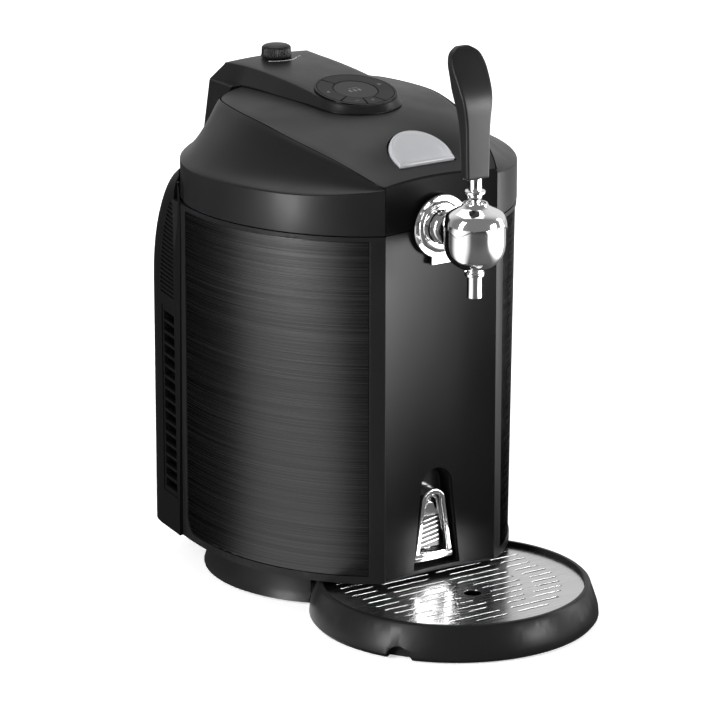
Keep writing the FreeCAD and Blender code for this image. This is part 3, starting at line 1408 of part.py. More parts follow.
def rounded_wire(half_x, y0, y1, z, corner):
    """Rounded rectangle, level, symmetrical left and right."""
    k = corner * (1 - math.sqrt(0.5))
    x0, x1 = -half_x, half_x
    stops = [(V(x0 + corner, y0, z), V(x1 - corner, y0, z), V(x1 - k, y0 + k, z)),
             (V(x1, y0 + corner, z), V(x1, y1 - corner, z), V(x1 - k, y1 - k, z)),
             (V(x1 - corner, y1, z), V(x0 + corner, y1, z), V(x0 + k, y1 - k, z)),
             (V(x0, y1 - corner, z), V(x0, y0 + corner, z), V(x0 + k, y0 + k, z))]
    edges = []
    for i, (start, end, bend) in enumerate(stops):
        edges.append(Part.LineSegment(start, end).toShape())
        edges.append(Part.Arc(end, bend, stops[(i + 1) % 4][0]).toShape())
    return Part.Wire(edges)


def tap_handle():
    """Paddle with a straight front that slopes back at the top."""
    wires = []
    for rise, half, front, rear in HANDLE:
        corner = HANDLE_ROUND * min(half, (rear - front) / 2)
        wires.append(rounded_wire(half, TAP_Y + front, TAP_Y + rear, HANDLE_FOOT + rise, corner))
    return Part.makeLoft(wires, True, True)


def lid_screws():
    screws = []
    for x, y in ((95, 40), (95, -50), (60, -85)):
        screws += both_sides(upright(3.2, LID_LINER_Z - 1.6, LID_LINER_Z, x, y))
    return Part.Compound(screws)


def foot_screws():
    screws = []
    for x, y in screw_places():
        head = upright(3.5, BODY_BOTTOM - WALL - 2.2, BODY_BOTTOM - WALL, x, y)
        screws.append(head.fuse(upright(1.6, BODY_BOTTOM - WALL, BODY_BOTTOM + WALL, x, y)))
    return Part.Compound(screws)


# ---- the whole machine ----
PARTS = {
    "foot_base": foot_base,
    "rubber_feet": rubber_feet,
    "foot_screws": foot_screws,
    "drip_tray": drip_tray,
    "tray_grille": tray_grille,
    "body_housing": body_housing,
    "side_panel_right": side_panel,
    "side_panel_left": lambda: mirrored(side_panel()),
    "front_panel": front_panel,
    "top_deck": top_deck,
    "chamber_liner": chamber_liner,
    "insulation_jacket": insulation_jacket,
    "chamber_gasket": chamber_gasket,
    "bottle_opener": bottle_opener,
    "opener_screws": opener_screws,
    "rear_cover": rear_cover,
    "vent_grille_right": vent_grille,
    "vent_grille_left": lambda: mirrored(vent_grille()),
    "cold_block": cold_block,
    "peltier_module": peltier_module,
    "heat_sink": heat_sink,
    "fan_frame": fan_frame,
    "fan_rotor": fan_rotor,
    "power_inlet": power_inlet,
    "control_board": control_board,
    "hinge_brackets": hinge_brackets,
    "hinge_pins": hinge_pins,
    "lid_shell": lid_shell,
    "lid_cover": lid_cover,
    "lid_front_plate": lid_front_plate,
    "lid_liner": lid_liner,
    "lid_foam": lid_foam,
    "lid_screws": lid_screws,
    "pad_bezel": pad_bezel,
    "display_lens": display_lens,
    "key_springs": key_springs,
    "release_button": release_button,
    "latch_hook": latch_hook,
    "latch_spring": latch_spring,
    "pressure_knob": pressure_knob,
    "knob_spindle": knob_spindle,
    "regulator_body": regulator_body,
    "co2_sleeve": co2_sleeve,
    "co2_cartridge": co2_cartridge,
    "co2_cap": co2_cap,
    "gas_line": gas_line,
    "keg_coupler": keg_coupler,
    "beer_line": beer_line,
    "tap_rosette": tap_rosette,
    "tap_shank": tap_shank,
    "shank_nut": shank_nut,
    "tap_body": tap_body,
    "lever_pin": lever_pin,
    "tap_spout": tap_spout,
    "lever_stem": lever_stem,
    "tap_handle": tap_handle,
}


def export(name, shape):
    placed = shape.copy()
    placed.translate(V(0, AXIS_Y, 0))
    solids = placed.Solids
    state = "ok" if placed.isValid() else "NOT VALID"
    print(f"{name}: {len(solids)} solids, {placed.Volume / 1000:.1f} cm3, {state}")
    placed.exportStep(f"parts/{name}.step")


def main():
    os.makedirs("parts", exist_ok=True)
    for name, make in PARTS.items():
        export(name, make())
    for name, (start, end) in KEY_SPANS.items():
        export(name, pad_key(start, end))


main()
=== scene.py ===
import json
import math

import bmesh
import bpy
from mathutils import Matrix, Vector


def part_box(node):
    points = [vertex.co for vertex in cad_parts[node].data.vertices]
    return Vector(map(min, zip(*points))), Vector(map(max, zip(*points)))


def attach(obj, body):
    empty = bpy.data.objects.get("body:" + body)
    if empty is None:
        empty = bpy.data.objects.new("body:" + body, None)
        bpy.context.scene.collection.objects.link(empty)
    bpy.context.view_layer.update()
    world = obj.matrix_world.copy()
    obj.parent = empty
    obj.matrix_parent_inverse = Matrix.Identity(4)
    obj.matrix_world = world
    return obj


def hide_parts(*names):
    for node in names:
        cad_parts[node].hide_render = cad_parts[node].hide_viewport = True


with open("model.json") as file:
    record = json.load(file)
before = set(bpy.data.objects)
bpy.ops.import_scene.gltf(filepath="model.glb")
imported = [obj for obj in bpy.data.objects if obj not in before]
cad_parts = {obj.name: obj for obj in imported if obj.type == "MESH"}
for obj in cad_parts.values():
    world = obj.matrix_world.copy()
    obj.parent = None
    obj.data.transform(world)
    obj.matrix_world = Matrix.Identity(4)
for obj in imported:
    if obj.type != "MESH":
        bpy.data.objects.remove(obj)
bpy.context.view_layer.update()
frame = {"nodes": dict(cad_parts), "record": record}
NODES = frame["nodes"]

# Lengths below are millimetres about the upright axis of the keg chamber, as in
# the CAD model: x to the right, y to the rear, z up.
MM = 0.001
KEG_LOW, KEG_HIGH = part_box("chamber_liner")
AXIS_Y = (KEG_LOW.y + KEG_HIGH.y) / 2

# ---- sizes and places, most of them the CAD model's ----
BODY_BOTTOM = 30.7
BODY_TOP = 317.0
LID_BOTTOM = 317.7
NOSE = 141.4
FRONT_HOLLOW = 5.5
FRONT_PANEL_HALF = 53.0
PILLAR_EDGE = 64.0
SHANK_Z = 318.0
SHANK_CUT = (-160, -90)
TAP_Y = -186.4
TAP_Z = 320.4
PAD_Y = -19.6
PAD_Z = 404.15
PAD_TILT = math.radians(9.3)
KNOB_Y = 97.5
HINGE_X = 38
HINGE_Y = 120
HINGE_Z = 329
BUTTON_TURN = math.radians(31.0)
BUTTON_MIDDLE = (0.0, -105.5, 374.0)
BUTTON_HALF = 26.0
BUTTON_DEPTH = 31.0 / math.cos(BUTTON_TURN)


# ---- small helpers ----
def at(x, y, z):
    """A point of the machine, in metres in the shared frame."""
    return Vector((x * MM, y * MM + AXIS_Y, z * MM))


def spline(knots, t):
    """Natural cubic through (t, value) knots, read at t."""
    xs = [k[0] for k in knots]
    ys = [k[1] for k in knots]
    n = len(xs)
    h = [xs[i + 1] - xs[i] for i in range(n - 1)]
    second = natural_second(xs, ys, h)
    i = 0
    while i < n - 2 and t > xs[i + 1]:
        i += 1
    a = (xs[i + 1] - t) / h[i]
    b = (t - xs[i]) / h[i]
    bend = ((a ** 3 - a) * second[i] + (b ** 3 - b) * second[i + 1]) * h[i] ** 2 / 6
    return a * ys[i] + b * ys[i + 1] + bend


def natural_second(xs, ys, h):
    """Second derivatives of the natural cubic, by the Thomas algorithm."""
    n = len(xs)
    upper = [0.0] * n
    right = [0.0] * n
    for i in range(1, n - 1):
        share = h[i - 1] / (h[i - 1] + h[i])
        pivot = share * upper[i - 1] + 2
        upper[i] = (share - 1) / pivot
        jump = (ys[i + 1] - ys[i]) / h[i] - (ys[i] - ys[i - 1]) / h[i - 1]
        right[i] = (6 * jump / (h[i - 1] + h[i]) - share * right[i - 1]) / pivot
    second = [0.0] * n
    for i in range(n - 2, 0, -1):
        second[i] = upper[i] * second[i + 1] + right[i]
    return second


def finish_piece(obj, body, slot, replaces=(), material=None):
    """Parents the piece to its body, hides the replaced CAD pieces and gives it the material of its
    slot, unless another material is named.
    """
    obj.data.materials.clear()
    obj.data.materials.append(M[material or SLOT_MATERIAL.get(slot, slot)])
    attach(obj, body)
    if replaces:
        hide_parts(*replaces)


def new_object(name, data):
    obj = bpy.data.objects.new(name, data)
    bpy.context.scene.collection.objects.link(obj)
    return obj


def smooth(mesh, sharp):
    mesh.shade_smooth()
    mesh.set_sharp_from_angle(angle=math.radians(sharp))


def add_mesh(name, verts, faces, sharp=38.0):
    """New object from machine points, smooth but for edges sharper than an angle."""
    mesh = bpy.data.meshes.new(name)
    mesh.from_pydata([at(*v) for v in verts], [], faces)
    mesh.update()
    work = bmesh.new()
    work.from_mesh(mesh)
    bmesh.ops.remove_doubles(work, verts=work.verts, dist=0.00001)
    bmesh.ops.dissolve_degenerate(work, edges=work.edges, dist=0.000005)
    bmesh.ops.recalc_face_normals(work, faces=work.faces)
    work.to_mesh(mesh)
    work.free()
    smooth(mesh, sharp)
    return new_object(name, mesh)


def grid(rows, close_rows=False, close_columns=False):
    """Vertices and quads of a grid of points."""
    verts = [p for row in rows for p in row]
    count = len(rows[0])
    faces = []
    for i in range(len(rows) - (0 if close_rows else 1)):
        for j in range(count - (0 if close_columns else 1)):
            a = i * count + j
            b = i * count + (j + 1) % count
            k = (i + 1) % len(rows)
            faces.append((a, b, k * count + (j + 1) % count, k * count + j))
    return verts, faces


def lathe(name, profile, y=0.0, z=0.0, sides=96, axis="z"):
    """Profile of (radius, height) turned about an upright or a front-to-rear axis."""
    rows = []
    for i in range(sides):
        turn = 2 * math.pi * i / sides
        row = []
        for radius, height in profile:
            c, s = radius * math.cos(turn), radius * math.sin(turn)
            row.append((c, y + s, height) if axis == "z" else (c, height, z + s))
        rows.append(row)
    return add_mesh(name, *grid(rows, close_rows=True))


def bevel(obj, width, segments=2, angle=35.0):
    mod = obj.modifiers.new("edge_round", "BEVEL")
    mod.width = width * MM
    mod.segments = segments
    mod.limit_method = "ANGLE"
    mod.angle_limit = math.radians(angle)
    mod.harden_normals = True


def refined_copy(node, name, width, segments=2, angle=35.0, sharp=30.0):
    """A CAD piece with welded vertices and rounded edges, as an object of its own."""
    mesh = NODES[node].data.copy()
    mesh.name = name
    work = bmesh.new()
    work.from_mesh(mesh)
    bmesh.ops.remove_doubles(work, verts=work.verts, dist=0.00002)
    bmesh.ops.dissolve_limit(work, angle_limit=math.radians(1.0), verts=work.verts,
                             edges=work.edges)
    work.to_mesh(mesh)
    work.free()
    smooth(mesh, sharp)
    obj = new_object(name, mesh)
    bevel(obj, width, segments, angle)
    return obj


# ---- materials ----
def new_material(name, color, roughness, metallic=0.0, specular=0.5):
    material = bpy.data.materials.new(name)
    material.use_nodes = True
    shader = material.node_tree.nodes["Principled BSDF"]
    shader.inputs["Base Color"].default_value = (*color, 1.0)
    shader.inputs["Roughness"].default_value = roughness
    shader.inputs["Metallic"].default_value = metallic
    shader.inputs["Specular IOR Level"].default_value = specular
    return material, shader


def add_node(owner, kind, **values):
    """New node of a material or world, with values for its inputs or properties."""
    node = owner.node_tree.nodes.new(kind)
    for key, value in values.items():
        if key in node.inputs.keys():
            node.inputs[key].default_value = value
        else:
            setattr(node, key, value)
    return node


def link(owner, source, target):
    owner.node_tree.links.new(source, target)


def map_range(owner, source, span, values, kind="LINEAR"):
    """A value carried from one span over to another."""
    node = add_node(owner, "ShaderNodeMapRange", interpolation_type=kind)
    for name, value in zip(("From Min", "From Max", "To Min", "To Max"), (*span, *values)):
        node.inputs[name].default_value = value
    link(owner, source, node.inputs["Value"])
    return node.outputs["Result"]


def object_space(material, scale=(1.0, 1.0, 1.0)):
    coordinates = add_node(material, "ShaderNodeTexCoord")
    mapping = add_node(material, "ShaderNodeMapping")
    mapping.inputs["Scale"].default_value = scale
    link(material, coordinates.outputs["Object"], mapping.inputs["Vector"])
    return mapping.outputs["Vector"]


def noise(material, space, **values):
    node = add_node(material, "ShaderNodeTexNoise", **values)
    link(material, space, node.inputs["Vector"])
    return node.outputs["Fac"]


def vary(material, source, target, low, high, start=0.3, end=0.7):
    """Maps a texture's value onto a shader input."""
    link(material, map_range(material, source, (start, end), (low, high)), target)


def add_bump(material, shader, source, strength, distance):
    bump = add_node(material, "ShaderNodeBump", Strength=strength, Distance=distance)
    link(material, source, bump.inputs["Height"])
    link(material, bump.outputs["Normal"], shader.inputs["Normal"])


def moulded_plastic(name, color, roughness, grain=0.35, specular=0.4):
    """Fine moulded texture with a slightly uneven sheen."""
    material, shader = new_material(name, color, roughness, specular=specular)
    space = object_space(material)
    fine = noise(material, space, Scale=2600.0, Detail=3.0)
    add_bump(material, shader, fine, grain, 0.00004)
    broad = noise(material, space, Scale=38.0, Detail=4.0)
    vary(material, broad, shader.inputs["Roughness"], roughness - 0.035, roughness + 0.035)
    return material


def gloss(name, color, roughness, specular=0.5):
    """Polished plastic with faint smears."""
    material, shader = new_material(name, color, roughness, specular=specular)
    space = object_space(material, (1.0, 1.0, 0.35))
    smear = noise(material, space, Scale=24.0, Detail=6.0)
    vary(material, smear, shader.inputs["Roughness"], roughness - 0.015, roughness + 0.05)
    return material


def brushed(name, color, roughness, scale, contrast=0.25, strength=0.2, anisotropy=0.6):
    """Metal with fine parallel brush lines; scale stretches them."""
    material, shader = new_material(name, color, roughness, metallic=1.0)
    shader.inputs["Anisotropic"].default_value = anisotropy
    shader.inputs["Specular Tint"].default_value = (*(min(1.0, c * 4) for c in color), 1.0)
    space = object_space(material, scale)
    lines = noise(material, space, Scale=1.0, Detail=8.0, Roughness=0.72)
    vary(material, lines, shader.inputs["Roughness"], roughness - 0.08, roughness + 0.1)
    dark = tuple(c * (1 - contrast) for c in color)
    light = tuple(min(1.0, c * (1 + contrast)) for c in color)
    blend = add_node(material, "ShaderNodeMix", data_type="RGBA")
    blend.inputs["A"].default_value = (*dark, 1.0)
    blend.inputs["B"].default_value = (*light, 1.0)
    vary(material, lines, blend.inputs["Factor"], 0.0, 1.0, 0.38, 0.62)
    link(material, blend.outputs["Result"], shader.inputs["Base Color"])
    add_bump(material, shader, lines, strength, 0.00003)
    return material


def polished_metal(name, color, roughness):
    material, shader = new_material(name, color, roughness, metallic=1.0)
    space = object_space(material)
    haze = noise(material, space, Scale=60.0, Detail=5.0)
    vary(material, haze, shader.inputs["Roughness"], roughness, roughness + 0.04)
    return material


BLACK = (0.0075, 0.0075, 0.008)
M = {
    "black": moulded_plastic("black_plastic", BLACK, 0.34, specular=0.14),
    "gloss": gloss("gloss_black", (0.003, 0.003, 0.0034), 0.22, specular=0.16),
    "lid_gloss": gloss("lid_gloss", (0.003, 0.003, 0.0034), 0.24, specular=0.03),
    "pad": gloss("pad_black", (0.0025, 0.0025, 0.0028), 0.16, specular=0.1),
    # Rear plastic: a matt black that is also darker in colour than the black plastic, as painted
    # shade on the rear.
    "rear": moulded_plastic("rear_plastic_painted_shade", (0.0035, 0.0035, 0.0038), 0.5, specular=0.06),
    "black_steel": brushed("black_steel", (0.055, 0.055, 0.056), 0.24, (5.0, 5.0, 2600.0)),
    "grille_steel": brushed("grille_steel", (0.62, 0.62, 0.625), 0.2, (14.0, 1500.0, 14.0),
                            contrast=0.1, strength=0.08, anisotropy=0.4),
    "chrome": polished_metal("chrome", (0.9, 0.9, 0.905), 0.07),
    "silver": moulded_plastic("satin_silver", (0.36, 0.365, 0.375), 0.2, grain=0.15),
    "handle": moulded_plastic("handle_plastic", (0.009, 0.009, 0.0095), 0.38, specular=0.16),
    "key": moulded_plastic("key_plastic", (0.003, 0.003, 0.0034), 0.36, grain=0.4, specular=0.1),
    "display": gloss("display_lens", (0.003, 0.003, 0.0035), 0.12, specular=0.14),
    "rubber": moulded_plastic("rubber_feet", (0.012, 0.012, 0.012), 0.75, grain=0.6),
    "liner": brushed("liner_aluminium", (0.68, 0.68, 0.7), 0.35, (4.0, 4.0, 900.0), contrast=0.08,
                     strength=0.1),
    "foam": moulded_plastic("insulation_foam", (0.75, 0.75, 0.72), 0.85, grain=1.0),
    "inner_gloss": gloss("recess_black", (0.012, 0.012, 0.0125), 0.16),
    "inner": moulded_plastic("inner_plastic", (0.035, 0.035, 0.037), 0.5),
    "aluminium": brushed("milled_aluminium", (0.7, 0.7, 0.72), 0.32, (600.0, 8.0, 8.0),
                         contrast=0.08, strength=0.1),
    "ceramic": moulded_plastic("ceramic", (0.8, 0.8, 0.78), 0.6),
    "board": moulded_plastic("circuit_board", (0.01, 0.09, 0.035), 0.4),
    "steel": polished_metal("plated_steel", (0.6, 0.6, 0.61), 0.22),
    "brass": polished_metal("brass", (0.7, 0.52, 0.22), 0.2),
    "cartridge": polished_metal("cartridge_steel", (0.42, 0.43, 0.46), 0.3),
    "hose": moulded_plastic("beer_hose", (0.7, 0.72, 0.73), 0.3),
    "mark": moulded_plastic("printed_mark", (0.7, 0.7, 0.7), 0.5),
    "dim_mark": moulded_plastic("dim_mark", (0.09, 0.09, 0.09), 0.5),
}
# Slots whose material goes by another name.
SLOT_MATERIAL = {
    "black_plastic": "black", "gloss_black": "gloss", "satin_silver": "silver",
    "handle_plastic": "handle", "key_plastic": "key", "inner_plastic": "inner",
}


def dress_cad_nodes():
    """Every CAD piece that stays gets the procedural material of its slot."""
    for part in frame["record"]["subparts"]:
        slot = part["material_slot"]
        material = M[SLOT_MATERIAL.get(slot, slot)]
        mesh = NODES[part["node"]].data
        mesh.materials.clear()
        mesh.materials.append(material)


# ---- profiles: the lid's tower, the tap and the handle are fuller than in the CAD model ----
BOTTOM_HALF_WIDTH = 127.6
TOP_HALF_WIDTH = 134.5
BOTTOM_FRONT = 155.8
TOP_FRONT = 154.0
BODY_REAR = 200.0
LID_HALF_WIDTH = 134.84
LID_FRONT = 154.1
LID_REAR = 121.0
CORNER_ANGLE = 23.4
CREASE_HIGH, CREASE_DROP, CREASE_SPAN = 354.6, 5.7, 36.0
TOWER_HALF = 53.9
TOWER_TOP = 394.0
COVER_FRONT = -138.8
PANEL_LOW, PANEL_HIGH, PANEL_CORNER = 37.0, 313.0, 14.0
RECESS_LOW, RECESS_ARCH = 34.0, 102.0
KNOB_SIDES, KNOB_RIBS = 288, 48
# y, half width, height at the edge, height in the middle.
DOME = [
    (-152.0, 48.5, 350.0, 349.0), (-141.4, 53.4, 355.2, 354.9), (-120.0, 63.0, 364.3, 365.2),
    (-96.0, 70.4, 371.4, 379.2), (-74.0, 76.7, 376.7, 388.0), (-50.0, 82.3, 381.7, 393.2),
    (-18.0, 87.4, 387.6, 395.6), (24.0, 85.7, 390.0, 396.5), (56.0, 79.0, 389.9, 396.3),
    (84.0, 70.0, 389.0, 395.2), (120.0, 56.0, 386.0, 392.5),
]
# Joint of dome and shoulder: angle from the front, x, y, z.
SHOULDER = [
    (CORNER_ANGLE, 53.4, -141.4, 355.2), (31.0, 61.9, -123.0, 362.8), (42.0, 70.4, -96.0, 371.4),
    (53.0, 77.7, -70.0, 377.6), (66.0, 84.0, -41.0, 383.6), (80.0, 87.4, -12.0, 388.2),
    (95.0, 86.3, 18.0, 389.8), (110.0, 80.3, 50.0, 390.0), (125.0, 70.5, 71.0, 389.5),
    (137.0, 56.5, 81.0, 388.5), (146.0, 51.3, 91.0, 381.0), (153.0, 50.5, 100.0, 362.0),
    (160.0, 45.0, 110.5, 352.2), (170.0, 23.0, 113.0, 352.0), (180.0, 0.0, 114.0, 352.0),
]
# Share of the way from band to joint, share of the rise.
SHOULDER_RISE = [(0.0, 0.0), (0.2, 0.11), (0.4, 0.27), (0.6, 0.49), (0.8, 0.76),
                 (0.92, 0.93), (1.0, 1.0)]
# y, half width at SPINE_LOW, half width SPINE_TALL higher.
SPINE_SIDES = [(PAD_Y, 42.0, 31.2), (33.0, 49.5, 33.0), (88.0, 51.0, 35.0),
               (117.0, 66.3, 36.2), (130.0, 73.0, 35.4)]
SPINE_LOW, SPINE_TALL = 380.0, 34.0
# The spine's rear face leans: its y at one height, and how much it moves per millimetre.
SPINE_REAR, SPINE_REAR_Z, SPINE_LEAN = 116.0, 393.5, 0.222
SPINE_REAR_TOP = 407.0
SPINE_MEETS_TOWER = 96
# y, height.
SPINE_TOP = [(-68.0, 396.6), (-50.0, 399.2), (-20.0, 403.6), (12.0, 406.8), (50.0, 408.8),
             (80.0, 409.2), (124.0, 408.0)]
# Radius, height from TAP_Z.
TAP_PROFILE = [(8.4, -26.8), (13.0, -24.6), (18.0, -21.0), (21.8, -16.2), (23.7, -10.5),
               (24.2, -5.0), (24.2, 5.0), (24.0, 10.6), (22.9, 15.0), (20.2, 18.8),
               (15.4, 21.6)]
# The bonnet's lower edge dips on both sides of the tap, by angle from the front.
DIP_MIDDLE = math.radians(68)
DIP_REACH = math.radians(38)
HANDLE_FOOT = 366.8
# Rise from the foot, half width, front, rear.
HANDLE = [
    (0.0, 10.6, -5.0, 6.2), (23.2, 11.2, -5.0, 8.0), (48.2, 12.2, -5.0, 10.0),
    (60.2, 13.8, -4.4, 12.4), (69.2, 15.0, -1.8, 14.6), (79.2, 15.7, 3.0, 16.4),
    (87.0, 15.8, 7.4, 18.4), (93.6, 14.4, 11.2, 19.8), (98.4, 10.8, 14.4, 20.8),
    (101.4, 5.4, 17.0, 21.2),
]


def steps(start, end, count):
    return [start + (end - start) * i / (count - 1) for i in range(count)]


def table(rows, key, t, column=0):
    """One column of a table as a smooth curve over another column."""
    return spline([(row[column], row[key]) for row in rows], t)


def slab(name, outer, inner, sharp=38.0):
    """Closed wall between two grids of points."""
    count = len(outer[0])
    verts, faces = grid(outer)
    total = len(verts)
    verts = verts + [p for row in inner for p in row]
    faces = faces + [tuple(i + total for i in reversed(face)) for face in faces]
    last = len(outer) - 1
    loop = list(range(count)) + [r * count + count - 1 for r in range(1, last + 1)]
    loop += [last * count + c for c in range(count - 2, -1, -1)]
    loop += [r * count for r in range(last - 1, 0, -1)]
    for k, a in enumerate(loop):
        b = loop[(k + 1) % len(loop)]
        faces.append((a, a + total, b + total, b))
    return add_mesh(name, verts, faces, sharp)


def loft(name, rings, sharp=38.0, cap_end=True):
    """Solid through rings of points, capped at the start and, unless cap_end is false, at the end.
    """
    verts, faces = grid(rings, close_columns=True)
    count = len(rings[0])
    faces.append(tuple(range(count)))
    if cap_end:
        faces.append(tuple(reversed(range(len(verts) - count, len(verts)))))
    return add_mesh(name, verts, faces, sharp)


def prism(name, outline, shift):
    """Outline of points pushed along a direction."""
    moved = [tuple(p[i] + shift[i] for i in range(3)) for p in outline]
    return loft(name, [outline, moved])


def bake(obj):
    """Applies the modifiers of an object to its mesh."""
    graph = bpy.context.evaluated_depsgraph_get()
    mesh = bpy.data.meshes.new_from_object(obj.evaluated_get(graph))
    obj.modifiers.clear()
    obj.data = mesh


def carve(obj, *cutters, sharp=38.0):
    """Cuts other objects out of this one and removes them."""
    for cutter in cutters:
        mod = obj.modifiers.new("cut", "BOOLEAN")
        mod.operation = "DIFFERENCE"
        mod.solver = "EXACT"
        mod.object = cutter
    bake(obj)
    for cutter in cutters:
        bpy.data.objects.remove(cutter)
    smooth(obj.data, sharp)


def shank_cut(radius):
    """Round cutter for the tap's shank, which runs along y."""
    ring = [2 * math.pi * i / 64 for i in range(64)]
    return loft("cutter", [[(radius * math.cos(t), y, SHANK_Z + radius * math.sin(t)) for t in ring]
                           for y in SHANK_CUT])


def box_cut(x0, x1, y0, y1, z0, z1):
    outline = [(x0, y0, z0), (x1, y0, z0), (x1, y1, z0), (x0, y1, z0)]
    return prism("cutter", outline, (0, 0, z1 - z0))


def tilted(points, middle, turn):
    """Points of a frame turned about x and moved to its middle."""
    c, s = math.cos(turn), math.sin(turn)
    return [(x + middle[0], y * c - z * s + middle[1], y * s + z * c + middle[2])
            for x, y, z in points]


# ---- lid ----
def dome_z(x, y):
    half, edge, middle = (table(DOME, k, y) for k in (1, 2, 3))
    return middle - (middle - edge) * (x / half) ** 2


def band_point(angle):
    t = math.radians(angle)
    reach = LID_FRONT if math.cos(t) > 0 else LID_REAR
    return LID_HALF_WIDTH * math.sin(t), -reach * math.cos(t)


def outward(angle):
    t = math.radians(angle)
    return math.sin(t), -math.cos(t)


def crease_height(angle):
    share = min(1.0, max(0.0, (angle - CORNER_ANGLE) / CREASE_SPAN))
    return CREASE_HIGH - CREASE_DROP * share * (2 - share)


def joint_point(angle):
    return tuple(table(SHOULDER, k, angle) for k in (1, 2, 3))


def shoulder_section(angle):
    """Closed section of the lid's band and shoulder, right side."""
    bx, by = band_point(angle)
    ox, oy = outward(angle)
    top = crease_height(angle)
    jx, jy, jz = joint_point(angle)
    width = max(1.5, (bx - jx) * ox + (by - jy) * oy)
    if angle < CORNER_ANGLE + 0.1 or angle > 179.5:
        jx, jy = bx - ox * width, by - oy * width
    points = [(bx, by, LID_BOTTOM + 0.6), (bx, by, top - 0.9),
              (bx - ox * 0.12, by - oy * 0.12, top - 0.45),
              (bx - ox * 0.42, by - oy * 0.42, top - 0.1)]
    for share in steps(0.0, 1.0, 19)[1:]:
        rise = spline(SHOULDER_RISE, share)
        points.append((bx + (jx - bx) * share, by + (jy - by) * share, top + (jz - top) * rise))
    points[-1] = (jx + ox * 0.25, jy + oy * 0.25, points[-1][2] - 0.05)
    points.append((jx, jy, jz - 0.4))
    points.append((jx, jy, jz - 3.1))
    points.append((jx - ox * 5, jy - oy * 5, jz - 3.1))
    points.append((jx - ox * 5, jy - oy * 5, jz - 5.5))
    reach = max(width - 1, 3.5)
    ix, iy = bx - ox * 3, by - oy * 3
    ex, ey = jx + ox * (width - reach), jy + oy * (width - reach)
    for share in (0.98, 0.8, 0.6, 0.4, 0.2, 0.0):
        rise = spline(SHOULDER_RISE, share)
        points.append((ix + (ex - ix) * share, iy + (ey - iy) * share,
                       top - 3 + (jz - 5.55 - top + 3) * rise))
    points.append((ix, iy, LID_BOTTOM))
    points.append((bx - ox * 0.6, by - oy * 0.6, LID_BOTTOM))
    return points


def front_wall(name, depths, half, columns, hollow, heights):
    """Hollow wall across the nose; heights gives a column's levels at (x, y)."""
    walls = []
    for depth in depths:
        rows = []
        for x in steps(-half, half, columns):
            y = -NOSE + depth + FRONT_HOLLOW * (1 - (x / hollow) ** 2)
            rows.append([(x, y, z) for z in heights(x, y)])
        walls.append(rows)
    return slab(name, *walls)


def knuckle(name, left):
    """Hinge barrel with its bore, six millimetres wide from its left face."""
    outer, chamfered, bore = 7.0, 6.7, 2.56
    rings = []
    for radius, x in ((outer, left + 0.3), (outer, left + 5.7), (chamfered, left + 6),
                      (bore, left + 6), (bore, left), (chamfered, left)):
        rings.append([(x, HINGE_Y + radius * math.cos(t), HINGE_Z + radius * math.sin(t))
                      for t in steps(0, 2 * math.pi, 49)[:-1]])
    return add_mesh(name, *grid(rings, close_rows=True, close_columns=True))


def make_lid_shell():
    angles = [CORNER_ANGLE + (180 - CORNER_ANGLE) * i / 110 for i in range(111)]
    right = [shoulder_section(angle) for angle in angles]
    left = [[(-x, y, z) for x, y, z in section] for section in reversed(right[:-1])]
    shell = loft("lid_shoulder", right + left, sharp=42)
    cuts = [box_cut(side * HINGE_X - 8.6, side * HINGE_X + 8.6, 96, 140, 300, 341)
            for side in (-1, 1)]
    carve(shell, *cuts, sharp=42)
    inner = front_wall("lid_front_wall", (2.7, 5.6), 52.6, 41, 52.6,
                       lambda x, y: steps(LID_BOTTOM, dome_z(x, y) - 3.6, 8))
    carve(inner, shank_cut(13.5))
    left_knuckle = knuckle("lid_knuckle_left", -HINGE_X - 3)
    right_knuckle = knuckle("lid_knuckle_right", HINGE_X - 3)
    for piece in (shell, inner, left_knuckle, right_knuckle):
        finish_piece(piece, "lid", "black_plastic", ["lid_shell"])
    bevel(shell, 0.35, 2, 42)


def joint_outline(gap):
    """Right half of the cover's outline, from the front corner to the tower."""
    points = []
    count = 60
    for i in range(count + 1):
        angle = CORNER_ANGLE + (131.0 - CORNER_ANGLE) * i / count
        x, y, _ = joint_point(angle)
        ox, oy = outward(angle)
        points.append((x - ox * gap, y - oy * gap))
    bx, by = band_point(CORNER_ANGLE)
    ox, oy = outward(CORNER_ANGLE)
    points[0] = (bx - ox * (1.9 + gap), by - oy * (1.9 + gap))
    points.append((TOWER_HALF, 80.0))
    return points


def pad_cut(radius, low):
    """Round cutter in the frame of the control pad."""
    ring = steps(0, 2 * math.pi, 97)[:-1]
    return loft("cutter", [tilted([(radius * math.cos(t), radius * math.sin(t), h) for t in ring],
                                  (0, PAD_Y, PAD_Z), PAD_TILT) for h in (low, 10)])


def moon_cut(grow, low, high):
    """Half-moon cutter in the frame of the release button."""
    outline = moon_outline(BUTTON_HALF + grow, BUTTON_DEPTH + 2 * grow)
    return loft("cutter", [tilted([(x, y, h) for x, y in outline], BUTTON_MIDDLE, BUTTON_TURN)
                           for h in (low, high)])


def moon_outline(half, depth):
    """Straight in front, round behind."""
    front = -depth / 2
    start = front + 4
    centre = (depth / 2 - start) / 2 + start - half * half / (2 * (depth / 2 - start))
    radius = depth / 2 - centre
    reach = math.atan2(start - centre, half)
    points = [(half * share, front) for share in (-1, -0.5, 0.0, 0.5, 1)]
    for t in steps(reach, math.pi - reach, 40):
        points.append((radius * math.cos(t), centre + radius * math.sin(t)))
    return points


